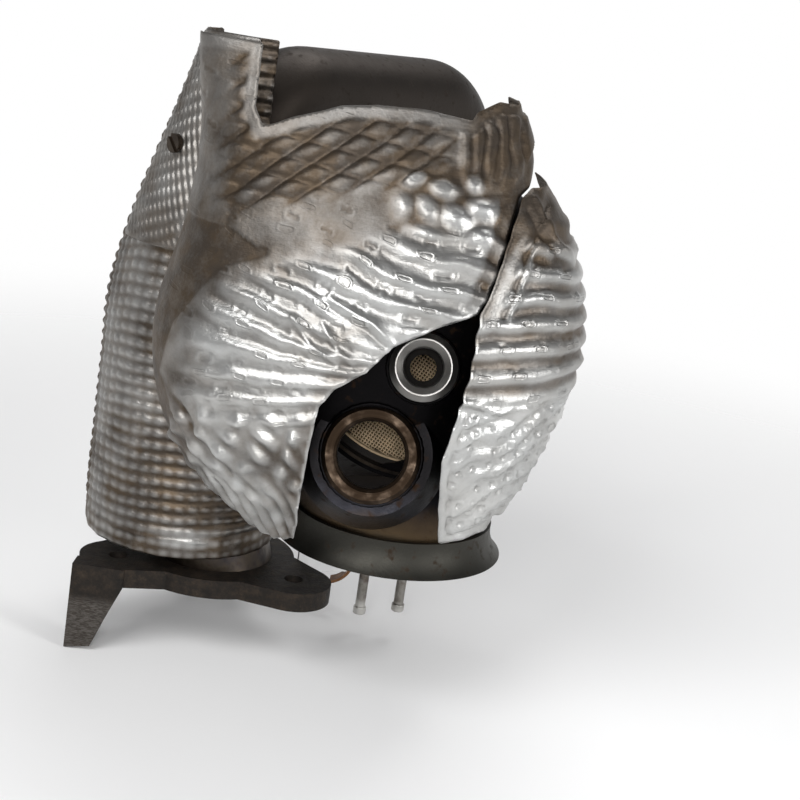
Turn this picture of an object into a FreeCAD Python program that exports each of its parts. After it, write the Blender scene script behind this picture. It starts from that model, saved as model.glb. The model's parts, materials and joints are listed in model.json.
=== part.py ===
"""Close-coupled catalytic converter: two bricks in welded cans under embossed heat shields.

Frame: millimetres, +Z up. The origin is the centre of the outlet flare's open rim, and the outlet's axis is Z.
-Y is the side with the two sensor ports. Gas comes up the column from the cast flange, over the
transfer duct, forward through the main brick, into the front chamber and down through the outlet.
"""
import FreeCAD, Part
import math
import os

Vector = FreeCAD.Vector

# ---- outlet: collar of the chamber and the flare that is welded on it
flare_rim_radius = 52.0
flare_neck_radius = 46.0
flare_height = 15.0
flare_wall = 2.0
flare_lip = 0.6
flare_curl = 2.2
collar_bottom = 7.0
weld_gap = 0.1  # between parts that are welded face to face

# ---- front chamber: a dished head whose axis is parallel to Y, with a funnel down to the collar
chamber_x = -21.0
chamber_z = 102.0
chamber_radius = 84.0
chamber_depth = 47.0
chamber_back_y = -12.0
chamber_wall = 1.8
chamber_crown_radius = 130.0
funnel_top_z = 58.0
funnel_top_half_width = 56.0
funnel_top_half_depth = 19.0
back_plate_wall = 2.0

# ---- large port and sensor boss, both turned towards the front and 15 degrees up
port_tilt = 15.0
port_face = Vector(-11.9, -62.0, 57.0)
port_outer_radius = 20.4
port_bore_radius = 14.0
port_length = 30.0
port_chamfer = 1.6
port_pad_radius = 25.5
port_pad_base_radius = 32.0
port_pad_drop = 6.0
port_pad_depth = 12.0
port_pad_shank = 14.0
boss_face = Vector(4.0, -64.0, 97.5)
boss_outer_radius = 14.0
boss_thread_radius = 8.6
boss_length = 14.0
boss_chamfer = 2.4
boss_seat_depth = 10.5
boss_sight_radius = 5.5

# ---- main can with its brick, axis parallel to Y
main_x = 3.0
main_z = 88.0
main_can_radius = 54.0
main_can_wall = 1.5
main_can_length = 104.0
main_mat_thickness = 4.0
main_brick_start = 3.0  # from the can's front end
main_brick_end_gap = 6.0
main_brick_length = main_can_length - main_brick_start - main_brick_end_gap
main_mat_setback = 3.0
baffle_wall = 1.5
baffle_setback = 2.5
baffle_edge_drop = 46.5
baffle_edge_slope = 21.0

# ---- rear cone and the duct that joins the two cans
rear_cone_length = 34.0
rear_cone_wall = 1.8
duct_radius = 22.0
duct_wall = 1.6
duct_bend_radius = 30.0
duct_top_z = 188.0
duct_reach = 34.0  # how far the duct runs back from the rear cone
duct_overlap = 8.0

# ---- column can with its brick, axis parallel to Z
column_x = -101.0
column_y = 40.0
column_can_radius = 38.0
column_can_wall = 1.5
column_can_bottom = -2.0
column_can_top = 112.0
column_mat_thickness = 3.5
column_mat_setback = 3.0
column_brick_start = 14.0
column_brick_end_gap = 10.0
column_brick_length = column_can_top - column_can_bottom - column_brick_start - column_brick_end_gap
column_cone_top = 160.0
column_lean = 13.0

# ---- cast flange with its leg
flange_x = -83.0
flange_y = 34.0
flange_top = -32.0
flange_thickness = 9.0
flange_bore_radius = 27.0
flange_ring_radius = 40.0
flange_pcd = 96.0
flange_hole_radius = 4.5
flange_lobe_radius = 18.0
flange_first_angle = -28.0
flange_bolts = 3
leg_drop = 42.0
leg_foot_width = 12.0
leg_thickness = 10.0
leg_inset = 0.6
leg_slant = 0.6
leg_toe_rise = 2.0
leg_knee_width = 16.0
leg_knee_rise = 14.0
leg_hip_width = 21.0
leg_hip_drop = 7.0
leg_top_width = 24.0
flange_web_half = 32.0
flange_web_end_half = 17.0
flange_web_end_reach = 6.0
bottom_cone_wall = 1.8

# ---- pressure pipes, their clip and the strap
pipe_radius = 2.5
pipe_wall = 0.7
pipe_bead_radius = 3.2
pipe_bead_length = 4.0
pipe_y = 58.0
pipe_rear_x = -8.0
pipe_front_x = 11.0
pipe_rear_tip = -64.0
pipe_front_tip = -59.5
pipe_bead_round = 0.6
pipe_bend_radius = 12.0
front_pipe_drop = 5.0  # below the main can
front_pipe_start_y = 18.0
rear_pipe_setback = 8.0  # from the front end of the rear cone
rear_pipe_start_rise = 12.0
rear_pipe_high_bend = 10.0
rear_pipe_low_bend = -16.0
clip_z = -38.0
clip_height = 3.5
clip_margin = 3.0
clip_clearance = 0.1
clip_corner_round = 1.2
strap_wall = 1.4
strap_width = 8.0
strap_radius = 15.0
strap_sweep = 75.0

# ---- heat shields
shield_wall = 0.9
rib_height = 0.75
rib_pitch = 10.5
column_rib_pitch = 6.0
column_rib_height = 0.7
shield_lap_gap = 0.6  # between the front and the side shield at their seam
shield_base_y = -12.0
standoff_radius = 4.0
front_standoff_places = [(-72.0, 118.0), (-62.0, 66.0), (-30.0, 158.0), (2.0, 146.0)]
side_standoff_places = [(44.0, 128.0), (46.0, 76.0)]
rear_standoff_angles = [5.0, 60.0, 120.0]
rear_standoff_inset = 14.0
column_standoff_angles = [20.0, 110.0, 200.0, 285.0]
column_standoff_inset = 20.0
clip_head_radius = 4.2
clip_head_height = 2.4
clip_slot_width = 2.0

# hull of the front and side shields: height, left edge, right edge and how far it bulges forward
hull_rows = [(8.0, -62.0, 42.0, 44.0), (30.0, -91.0, 50.0, 54.0), (50.0, -106.0, 58.0, 62.0),
             (76.0, -113.5, 66.0, 67.0), (100.0, -114.0, 71.0, 67.0), (130.0, -107.0, 67.0, 60.0),
             (156.0, -103.0, 56.0, 50.0), (178.0, -103.0, 40.0, 40.0), (196.0, -106.0, 30.0, 30.0),
             (215.0, -108.0, 22.0, 20.0)]
hull_steps = 14
hull_power = 0.82
hull_core_x = -40.0
side_wrap = 38.0
side_tuck = 4.0
# slope of the ribs by height
rib_slopes = [(8.0, 0.0), (50.0, 0.12), (84.0, 0.22), (125.0, 0.0), (170.0, -0.17), (215.0, 0.0)]

# edges of the shields, as x and z, each clockwise from its top left
window_edge = [(22.0, 122.5), (7.5, 116.2), (-9.0, 107.0), (-18.0, 95.7), (-29.4, 87.2), (-35.0, 78.3),
               (-36.8, 59.3), (-38.2, 35.6), (-38.8, 14.0)]
seam_edge = [(36.0, 171.5), (32.0, 167.5), (28.5, 145.0), (25.5, 131.0)]
front_outline = ([(-130.0, 213.0), (-79.5, 213.0), (-78.5, 188.0), (-74.0, 181.0), (-62.0, 186.5), (-44.0, 193.3),
                  (-30.0, 195.6), (-11.0, 196.6), (8.4, 194.6), (9.8, 198.0), (18.0, 203.0), (26.0, 202.5),
                  (32.0, 198.5), (43.0, 192.0), (37.5, 189.0)] + seam_edge + window_edge
                 + [(-50.0, 9.0), (-130.0, 9.0)])
side_outline = ([(45.0, 171.5)] + [(x + shield_lap_gap, z) for x, z in seam_edge] + [(23.0, 122.5), (22.8, 100.0), (20.2, 80.1),
                (17.0, 60.6), (19.1, 37.3), (21.6, 20.0), (32.0, 21.5), (40.0, 24.0), (44.0, 30.0), (100.0, 30.0), (100.0, 171.5)])

# hull of the column's shields: height, x of the centre and radius
column_rows = [(-24.0, -101.0, 46.0), (60.0, -101.0, 46.0), (95.0, -100.0, 45.6), (134.0, -94.0, 43.0),
               (156.0, -89.5, 41.0), (180.0, -85.5, 37.5), (213.0, -80.0, 34.0)]
column_front_angles = (150.0, 352.0)
column_rear_angles = (-6.5, 148.5)
column_rear_top = 150.0
column_notch_x = -77.0  # the column shield stops here above the notch height
column_notch_z = 166.0
column_steps = 24
neck_lift = 1.7
neck_bottom = 118.0
neck_angles = (205.0, 262.0)
neck_clip_height = 163.0
neck_clip_angle = 228.0
main_shield_gap = 7.0
main_shield_start = 28.0
main_shield_length = 64.0
main_shield_angles = (-32.0, 148.0)
lower_radius = 56.0
lower_angles = (108.0, 137.0)
lower_bottom = -41.0

# larger than the whole unit, for the shapes that cut it
far = 400.0


def up_and_forward():
    """Direction in which both ports point."""
    tilt = math.radians(port_tilt)
    return Vector(0, -math.cos(tilt), math.sin(tilt))


def polyline(points):
    return Part.makePolygon(points)


def smooth_edge(points):
    """An edge that runs smoothly through the points."""
    curve = Part.BSplineCurve()
    curve.interpolate(points)
    return curve.toShape()


def disc(centre, direction, radius):
    return Part.Wire(Part.makeCircle(radius, centre, direction))


def revolved(profile_wire, centre, direction):
    """Solid turned from a closed profile about an axis."""
    face = Part.Face(profile_wire)
    solid = face.revolve(centre, direction, 360)
    return solid if solid.ShapeType == "Solid" else Part.Solid(solid.Shells[0])


def rod(points, bend_radius, radius):
    """Round rod along straight runs joined by tangent arcs of one radius."""
    pieces = []
    last = points[0]
    for before, corner, after in zip(points, points[1:], points[2:]):
        arrive = (corner - before).normalize()
        leave = (after - corner).normalize()
        turn = arrive.getAngle(leave)
        first = corner - arrive * (bend_radius * math.tan(turn / 2))
        axis = arrive.cross(leave).normalize()
        centre = first + axis.cross(arrive) * bend_radius
        pieces.append(Part.makeCylinder(radius, (first - last).Length, last, arrive))
        bend = Part.Face(disc(first, arrive, radius)).revolve(centre, axis, math.degrees(turn))
        pieces.append(bend)
        last = corner + leave * (bend_radius * math.tan(turn / 2))
    pieces.append(Part.makeCylinder(radius, (points[-1] - last).Length, last, (points[-1] - last).normalize()))
    return pieces[0].fuse(pieces[1:]).removeSplitter()


def tube(points, bend_radius, outer_radius, inner_radius):
    return rod(points, bend_radius, outer_radius).cut(rod(points, bend_radius, inner_radius))


def export(name, shape):
    shape.exportStep("parts/" + name + ".step")


# ---------------------------------------------------------------- outlet and front chamber
def outlet_flare():
    """Trumpet-shaped flare: the neck slips over the collar and the rim is open."""
    inner_neck = flare_neck_radius - flare_wall
    height = flare_height
    third = height / 3
    outside = smooth_edge([Vector(flare_rim_radius, 0, flare_lip), Vector(flare_neck_radius + flare_curl, 0, third),
                           Vector(flare_neck_radius, 0, height)])
    inside = smooth_edge([Vector(flare_rim_radius - flare_wall, 0, 0),
                          Vector(inner_neck + flare_curl, 0, third - flare_lip), Vector(inner_neck, 0, height)])
    top = Part.makeLine(Vector(flare_neck_radius, 0, height), Vector(inner_neck, 0, height))
    rim = Part.makeLine(Vector(flare_rim_radius, 0, flare_lip), Vector(flare_rim_radius - flare_wall, 0, 0))
    profile = Part.Wire(Part.__sortEdges__([outside, top, inside, rim]))
    return revolved(profile, Vector(0, 0, 0), Vector(0, 0, 1))


def dished_head(inset):
    """Solid head with a crown arc and a knuckle arc, flat at the back."""
    radius = chamber_radius - inset
    depth = chamber_depth - inset
    crown = chamber_crown_radius - inset
    knuckle = (crown ** 2 - (crown - depth) ** 2 - radius ** 2) / (2 * (crown - radius))
    turn = math.asin((radius - knuckle) / (crown - knuckle))

    def place(across, forward):
        return Vector(chamber_x + across, chamber_back_y - forward, chamber_z)

    def on_crown(angle):
        return place(crown * math.sin(angle), depth - crown + crown * math.cos(angle))

    def on_knuckle(angle):
        return place(radius - knuckle + knuckle * math.sin(angle), knuckle * math.cos(angle))

    front = on_crown(0)
    meet = on_crown(turn)
    rim = place(radius, 0)
    centre = place(0, 0)
    edges = [Part.Arc(front, on_crown(turn / 2), meet).toShape(),
             Part.Arc(meet, on_knuckle((turn + math.pi / 2) / 2), rim).toShape(),
             Part.makeLine(rim, centre), Part.makeLine(centre, front)]
    return revolved(Part.Wire(edges), centre, Vector(0, 1, 0))


def funnel(inset):
    """Solid funnel from the round collar to a flat oval inside the head."""
    radius = flare_neck_radius - flare_wall - weld_gap - inset
    low = disc(Vector(0, 0, collar_bottom), Vector(0, 0, 1), radius)
    neck = disc(Vector(0, 0, flare_height), Vector(0, 0, 1), radius)
    middle_y = chamber_back_y - funnel_top_half_depth
    oval = Part.Ellipse(Vector(chamber_x / 2, middle_y, funnel_top_z),
                        funnel_top_half_width - inset, funnel_top_half_depth - inset)
    high = Part.Wire(oval.toShape())
    straight = Part.makeLoft([low, neck], True)
    spread = Part.makeLoft([neck, high], True)
    return straight.fuse(spread)


def port_pad(inset):
    """Solid raised pad under the large port."""
    direction = up_and_forward()
    foot = port_face - direction * (port_pad_drop + port_pad_depth + port_pad_shank)
    top = port_pad_radius - inset
    bottom = port_pad_base_radius - inset
    shank = Part.makeCylinder(bottom, port_pad_shank, foot, direction)
    cone = Part.makeCone(bottom, top, port_pad_depth - inset, foot + direction * port_pad_shank, direction)
    return shank.fuse(cone)


def chamber_solid(inset):
    """Head, funnel and port pad in one, with room for the main can."""
    keep = Part.makeBox(2 * far, far, 2 * far, Vector(-far, chamber_back_y - far, -far))
    pad = port_pad(inset).common(keep)
    room = along_y(main_can_radius + weld_gap + inset, chamber_back_y - inset, main_can_length)
    return dished_head(inset).fuse([funnel(inset).cut(room), pad]).removeSplitter()


def bore(face, radius, length):
    direction = up_and_forward()
    return Part.makeCylinder(radius, length, face + direction, direction * -1)


def chamber_shell(outside, pipe_hole):
    shell = outside.cut(chamber_solid(chamber_wall))
    holes = [bore(port_face, port_bore_radius, port_pad_drop + port_pad_depth),
             bore(boss_face, boss_outer_radius + weld_gap, boss_length + chamber_wall), pipe_hole]
    return shell.cut(holes)


def turned_port(face, outer_radius, inner_radius, chamfer, end):
    """Ring about a port's axis, with both front edges chamfered. The end's points close its section at the back."""
    front = [Vector(inner_radius, 0, -chamfer), Vector(inner_radius + chamfer, 0, 0),
             Vector(outer_radius - chamfer, 0, 0), Vector(outer_radius, 0, -chamfer)]
    section = front + end
    ring = revolved(polyline(section + [section[0]]), Vector(0, 0, 0), Vector(0, 0, 1))
    ring.Placement = FreeCAD.Placement(face, FreeCAD.Rotation(Vector(0, 0, 1), up_and_forward()))
    return ring


def large_port(outside):
    """Ring that sits on the pad's outer face."""
    end = [Vector(port_outer_radius, 0, -port_length), Vector(port_bore_radius, 0, -port_length)]
    pieces = turned_port(port_face, port_outer_radius, port_bore_radius, port_chamfer, end).cut(outside).Solids
    return min(pieces, key=lambda piece: (piece.CenterOfMass - port_face).Length)


def sensor_boss():
    """Threaded boss through the head's wall, with a smaller hole in its floor."""
    end = [Vector(boss_outer_radius, 0, -boss_length), Vector(boss_sight_radius, 0, -boss_length),
           Vector(boss_sight_radius, 0, -boss_seat_depth), Vector(boss_thread_radius, 0, -boss_seat_depth)]
    return turned_port(boss_face, boss_outer_radius, boss_thread_radius, boss_chamfer, end)


def chamber_back(outside):
    """Flat plate that closes the head round the main can."""
    start = Vector(chamber_x, chamber_back_y + weld_gap, chamber_z)
    plate = Part.makeCylinder(chamber_radius, back_plate_wall, start, Vector(0, 1, 0))
    hole = along_y(main_can_radius + weld_gap, chamber_back_y - back_plate_wall, 3 * back_plate_wall)
    return plate.cut([hole, outside])


# ---------------------------------------------------------------- main can
def along_y(radius, start_y, length):
    return Part.makeCylinder(radius, length, Vector(main_x, start_y, main_z), Vector(0, 1, 0))


def main_can():
    start = chamber_back_y
    outer = along_y(main_can_radius, start, main_can_length)
    return outer.cut(along_y(main_can_radius - main_can_wall, start - 1, main_can_length + 2))


def main_mat():
    start = chamber_back_y + main_brick_start + main_mat_setback
    length = main_brick_length - 2 * main_mat_setback
    outer = along_y(main_can_radius - main_can_wall, start, length)
    return outer.cut(along_y(main_brick_radius(), start - 1, length + 2))


def main_brick_radius():
    return main_can_radius - main_can_wall - main_mat_thickness


def main_brick():
    return along_y(main_brick_radius(), chamber_back_y + main_brick_start, main_brick_length)


def flow_baffle():
    """Part of a disc in front of the brick, whose straight edge slopes up to the right."""
    start = chamber_back_y + main_brick_start - baffle_setback
    plate = along_y(main_can_radius - main_can_wall - weld_gap, start, baffle_wall)
    block = Part.makeBox(2 * far, 2 * far, far, Vector(-far, -far, 0))
    block.Placement = FreeCAD.Placement(Vector(main_x, start, main_z - baffle_edge_drop),
                                        FreeCAD.Rotation(Vector(0, 1, 0), -baffle_edge_slope))
    return plate.cut(block)


def neck_radius():
    """Outer radius of the necks that hold the duct."""
    return duct_radius + rear_cone_wall


def rear_neck():
    return Vector(main_x, chamber_back_y + main_can_length + weld_gap + rear_cone_length, main_z)


def rear_cone_solid(inset, extra):
    start = chamber_back_y + main_can_length + weld_gap
    origin = Vector(main_x, start, main_z)
    cone = Part.makeCone(main_can_radius - inset, neck_radius() - inset, rear_cone_length - duct_overlap,
                         origin, Vector(0, 1, 0))
    neck_start = origin + Vector(0, rear_cone_length - duct_overlap, 0)
    neck = Part.makeCylinder(neck_radius() - inset, duct_overlap + extra, neck_start, Vector(0, 1, 0))
    return cone.fuse(neck)


def rear_cone(pipe_hole):
    outer = rear_cone_solid(0, 0)
    inner = rear_cone_solid(rear_cone_wall, 1)
    return outer.cut(inner).cut(pipe_hole)


# ---------------------------------------------------------------- column
def column_top_centre():
    return Vector(column_x + column_lean, column_y, column_cone_top)


def along_z(radius, start_z, length):
    return Part.makeCylinder(radius, length, Vector(column_x, column_y, start_z), Vector(0, 0, 1))


def column_can():
    length = column_can_top - column_can_bottom
    outer = along_z(column_can_radius, column_can_bottom, length)
    return outer.cut(along_z(column_can_radius - column_can_wall, column_can_bottom - 1, length + 2))


def column_brick_radius():
    return column_can_radius - column_can_wall - column_mat_thickness


def column_mat():
    start = column_can_bottom + column_brick_start + column_mat_setback
    length = column_brick_length - 2 * column_mat_setback
    outer = along_z(column_can_radius - column_can_wall, start, length)
    return outer.cut(along_z(column_brick_radius(), start - 1, length + 2))


def column_brick():
    return along_z(column_brick_radius(), column_can_bottom + column_brick_start, column_brick_length)


def column_top_cone():
    """Cone that leans towards the middle, from the can to the transfer duct."""
    up = Vector(0, 0, 1)
    foot = Vector(column_x, column_y, column_can_top + weld_gap)
    head = column_top_centre()
    rise = Vector(0, 0, duct_overlap)
    small = neck_radius()

    def solid(inset, extra):
        cone = Part.makeLoft([disc(foot, up, column_can_radius - inset), disc(head - rise, up, small - inset)], True)
        neck = Part.makeCylinder(small - inset, duct_overlap + extra, head - rise, up)
        return cone.fuse(neck)

    return solid(0, 0).cut(solid(rear_cone_wall, 1))


def column_bottom_cone():
    """Cone from the can down to the cast flange's bore."""
    up = Vector(0, 0, 1)
    head = Vector(column_x, column_y, column_can_bottom - weld_gap)
    foot = Vector(flange_x, flange_y, flange_top + weld_gap)
    outer = Part.makeLoft([disc(foot, up, flange_bore_radius + bottom_cone_wall), disc(head, up, column_can_radius)], True)
    inner = Part.makeLoft([disc(foot, up, flange_bore_radius), disc(head, up, column_can_radius - bottom_cone_wall)], True)
    return outer.cut(inner)


def duct_outer_radius():
    """The duct slides into the necks of both cones."""
    return duct_radius - weld_gap


def transfer_duct():
    """Duct from the rear cone, up and over, down into the column's top cone."""
    neck = rear_neck()
    column = column_top_centre()
    start = neck - Vector(0, duct_overlap - 1, 0)
    back = neck + Vector(0, duct_reach, 0)
    corner = Vector(back.x, back.y, duct_top_z)
    over = Vector(column.x, column.y, duct_top_z)
    points = [start, back, corner, over, Vector(column.x, column.y, column.z - duct_overlap + 1)]
    outer = duct_outer_radius()
    return tube(points, duct_bend_radius, outer, outer - duct_wall)


# ---------------------------------------------------------------- cast flange
def flange_hole_centres():
    places = []
    for bolt in range(flange_bolts):
        angle = math.radians(flange_first_angle + 360.0 / flange_bolts * bolt)
        places.append(Vector(flange_x + flange_pcd / 2 * math.cos(angle), flange_y + flange_pcd / 2 * math.sin(angle), 0))
    return places


def inlet_flange():
    """Iron casting: a triangular flange with three bolt holes, and a leg that hangs from its left lobe."""
    bottom = flange_top - flange_thickness
    base = Vector(flange_x, flange_y, bottom)
    up = Vector(0, 0, 1)
    plate = Part.makeCylinder(flange_ring_radius, flange_thickness, base, up)
    for place in flange_hole_centres():
        lobe_centre = Vector(place.x, place.y, bottom)
        reach = (lobe_centre - base).normalize()
        side = Vector(-reach.y, reach.x, 0)
        end = lobe_centre + reach * flange_web_end_reach
        web_points = [base + side * flange_web_half, end + side * flange_web_end_half,
                      end - side * flange_web_end_half, base - side * flange_web_half]
        web = Part.Face(polyline(web_points + [web_points[0]])).extrude(Vector(0, 0, flange_thickness))
        lobe = Part.makeCylinder(flange_lobe_radius, flange_thickness, lobe_centre, up)
        plate = plate.fuse([web, lobe])
    plate = plate.removeSplitter()
    left = min(flange_hole_centres(), key=lambda place: place.x)
    outer_x = left.x - flange_lobe_radius + leg_inset
    front_y = left.y - flange_lobe_radius
    top = flange_top
    foot = flange_top - leg_drop
    toe_x = outer_x - leg_slant
    outline = [Vector(outer_x, front_y, top), Vector(toe_x, front_y, foot),
               Vector(toe_x + leg_foot_width, front_y, foot + leg_toe_rise),
               Vector(outer_x + leg_knee_width, front_y, foot + leg_knee_rise),
               Vector(outer_x + leg_hip_width, front_y, bottom - leg_hip_drop),
               Vector(outer_x + leg_top_width, front_y, bottom), Vector(outer_x + leg_top_width, front_y, top)]
    leg = Part.Face(polyline(outline + [outline[0]])).extrude(Vector(0, leg_thickness, 0))
    casting = plate.fuse(leg).removeSplitter()
    holes = [Part.makeCylinder(flange_hole_radius, 2 * leg_drop, place + Vector(0, 0, bottom - leg_drop), up)
             for place in flange_hole_centres()]
    bore_hole = Part.makeCylinder(flange_bore_radius, flange_thickness + 2, base - Vector(0, 0, 1), up)
    return casting.cut(holes + [bore_hole])


# ---------------------------------------------------------------- pipes
def pipe(points, tip_z):
    body = tube(points, pipe_bend_radius, pipe_radius, pipe_radius - pipe_wall)
    end = points[-1]
    bead = Part.makeCylinder(pipe_bead_radius, pipe_bead_length, Vector(end.x, end.y, tip_z), Vector(0, 0, 1))
    bead = bead.makeFillet(pipe_bead_round, bead.Edges)
    bead = bead.cut(Part.makeCylinder(pipe_radius - pipe_wall, pipe_bead_length + 2, Vector(end.x, end.y, tip_z - 1)))
    return body.fuse(bead).removeSplitter()


def rear_pipe_points():
    behind = rear_neck().y - rear_cone_length + rear_pipe_setback
    start_z = main_z - main_can_radius + rear_pipe_start_rise
    return [Vector(pipe_rear_x, behind, start_z), Vector(pipe_rear_x, behind, rear_pipe_high_bend),
            Vector(pipe_rear_x, pipe_y, rear_pipe_low_bend), Vector(pipe_rear_x, pipe_y, pipe_rear_tip)]


def front_pipe_points():
    level = main_z - main_can_radius - front_pipe_drop
    return [Vector(pipe_front_x, front_pipe_start_y, level), Vector(pipe_front_x, pipe_y, level),
            Vector(pipe_front_x, pipe_y, pipe_front_tip)]


def pipe_clip():
    """Bent plate round the rear pipe that the strap is welded to."""
    half = pipe_radius + clip_margin
    block = Part.makeBox(2 * half, 2 * half, clip_height, Vector(pipe_rear_x - half, pipe_y - half, clip_z))
    block = block.makeFillet(clip_corner_round, [edge for edge in block.Edges if abs(edge.tangentAt(edge.FirstParameter).z) > 0.9])
    hole = Part.makeCylinder(pipe_radius + clip_clearance, clip_height + 2, Vector(pipe_rear_x, pipe_y, clip_z - 1))
    return block.cut(hole)


def support_strap():
    """Curved strip that hangs from the clip and bends in under the lower shield."""
    half = pipe_radius + clip_margin
    start_x = pipe_rear_x - half - weld_gap
    axis = Vector(start_x - strap_radius, pipe_y - strap_width / 2, clip_z + clip_height)
    start_face = polyline([Vector(start_x, axis.y, axis.z), Vector(start_x, axis.y + strap_width, axis.z),
                           Vector(start_x - strap_wall, axis.y + strap_width, axis.z),
                           Vector(start_x - strap_wall, axis.y, axis.z), Vector(start_x, axis.y, axis.z)])
    return Part.Face(start_face).revolve(axis, Vector(0, 1, 0), strap_sweep)


# ---------------------------------------------------------------- heat shields
def between(table, height, column):
    """Value of one column of a table of heights, joined by a curve with no kinks."""
    height = min(max(height, table[0][0]), table[-1][0])
    spot = 0
    while height > table[spot + 1][0]:
        spot += 1
    low = table[spot]
    high = table[spot + 1]
    before = table[max(spot - 1, 0)]
    after = table[min(spot + 2, len(table) - 1)]
    span = high[0] - low[0]
    share = (height - low[0]) / span
    slope_low = (high[column] - before[column]) / (high[0] - before[0]) * span
    slope_high = (after[column] - low[column]) / (after[0] - low[0]) * span
    rise = high[column] - low[column]
    bend = slope_low + slope_high - 2 * rise
    return low[column] + share * (slope_low + share * (3 * rise - 2 * slope_low - slope_high + share * bend))


def hull_section(height, grow, slope):
    """Points of one row round the front of the hull, from its left edge to its right edge."""
    points = []
    middle = (between(hull_rows, height, 1) + between(hull_rows, height, 2)) / 2
    half = (between(hull_rows, height, 2) - between(hull_rows, height, 1)) / 2
    for step in range(hull_steps + 1):
        angle = math.pi * step / hull_steps
        z = height - slope * half * math.cos(angle)
        left = between(hull_rows, z, 1) - grow
        right = between(hull_rows, z, 2) + grow
        depth = between(hull_rows, z, 3) + grow
        x = (left + right) / 2 - (right - left) / 2 * math.cos(angle)
        y = shield_base_y - depth * math.sin(angle) ** hull_power
        points.append(Vector(x, y, z))
    last = points[-1]
    points.append(Vector(last.x, last.y + side_wrap * 0.4, last.z))
    points.append(Vector(last.x - side_tuck, last.y + side_wrap, last.z))
    return points


def row_wire(points, extend):
    """Closed wire: a smooth row, carried straight back at both ends, and closed behind it."""
    back = Vector(0, extend, 0)
    first = points[0]
    last = points[-1]
    inner = Vector(hull_core_x, last.y, last.z) + back
    corner = Vector(hull_core_x, first.y, first.z) + back
    loop = [last, last + back, inner, corner, first + back, first]
    edges = [smooth_edge(points)] + [Part.makeLine(a, b) for a, b in zip(loop, loop[1:]) if (a - b).Length > 0]
    return Part.Wire(edges)


def hull_body(grow, back, ribbed):
    """Solid behind the shields' outer face, folded into ribs, or behind their inner face, without them."""
    low = hull_rows[0][0]
    high = hull_rows[-1][0]
    ribs = int((high - low) / rib_pitch)
    wires = []
    for step in range(2 * ribs + 1):
        crest = step % 2 == 1
        if crest and not ribbed:
            continue
        height = low + (high - low) * step / (2 * ribs)
        points = hull_section(height, grow + (rib_height if crest else 0), between(rib_slopes, height, 1))
        wires.append(row_wire(points, back))
    return Part.makeLoft(wires, True, True)


def cutter(outline):
    """Prism along Y through an outline given as x and z."""
    points = [Vector(x, -far, z) for x, z in outline]
    return Part.Face(polyline(points + [points[0]])).extrude(Vector(0, 2 * far, 0))


def ring_sector(centre, radius, angles, steps):
    """Closed wire in a level plane: an arc and the straight ways back to the centre."""
    points = []
    for step in range(steps + 1):
        angle = math.radians(angles[0] + (angles[1] - angles[0]) * step / steps)
        points.append(centre + Vector(radius * math.cos(angle), radius * math.sin(angle), 0))
    arc = Part.Arc(points[0], points[steps // 2], points[-1]).toShape()
    return Part.Wire([arc, Part.makeLine(points[-1], centre), Part.makeLine(centre, points[0])])


def column_row(height):
    return Vector(between(column_rows, height, 1), column_y, height), between(column_rows, height, 2)


def column_sheet(angles, low, high, lift):
    """Part of the ribbed sheet round the column, between two angles and two heights."""
    ribs = int((high - low) / column_rib_pitch)
    outer = []
    inner = []
    for step in range(2 * ribs + 1):
        centre, radius = column_row(low + (high - low) * step / (2 * ribs))
        if step % 2:
            outer.append(ring_sector(centre, radius + lift + column_rib_height, angles, column_steps))
        else:
            outer.append(ring_sector(centre, radius + lift, angles, column_steps))
            inner.append(disc(centre, Vector(0, 0, 1), radius + lift - shield_wall))
    return Part.makeLoft(outer, True, True).cut(Part.makeLoft(inner, True, True))


def column_shield():
    sheet = column_sheet(column_front_angles, column_rows[0][0], column_rows[-1][0], 0)
    notch = Part.makeBox(far, 2 * far, far, Vector(column_notch_x, column_y - far, column_notch_z))
    return sheet.cut(notch)


def rear_shield():
    """Sheet with ribs round it, over the back and top of the main can."""
    radius = main_can_radius + main_shield_gap
    ribs = int(main_shield_length / rib_pitch)
    turn = FreeCAD.Rotation(Vector(1, 0, 0), -90)

    wires = []
    for step in range(2 * ribs + 1):
        size = radius + (rib_height if step % 2 else 0)
        level = Vector(0, 0, main_shield_length * step / (2 * ribs))
        wires.append(ring_sector(level, size, (-main_shield_angles[1], -main_shield_angles[0]), column_steps))
    sheet = Part.makeLoft(wires, True, True)
    sheet = sheet.cut(Part.makeCylinder(radius - shield_wall, main_shield_length + 2, Vector(0, 0, -1)))
    sheet.Placement = FreeCAD.Placement(Vector(main_x, main_shield_start, main_z), turn)
    return sheet


def lower_shield():
    """Plain curved sheet behind the outlet, hung from the main can."""
    height = main_z - lower_bottom
    spread = lower_angles[1] - lower_angles[0]
    foot = Vector(0, 0, lower_bottom)
    sheet = Part.makeCylinder(lower_radius + shield_wall, height, foot, Vector(0, 0, 1), spread)
    sheet = sheet.cut(Part.makeCylinder(lower_radius, height, foot))
    sheet.rotate(Vector(0, 0, 0), Vector(0, 0, 1), lower_angles[0])
    return sheet.cut(along_y(main_can_radius, chamber_back_y, main_can_length))


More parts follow.
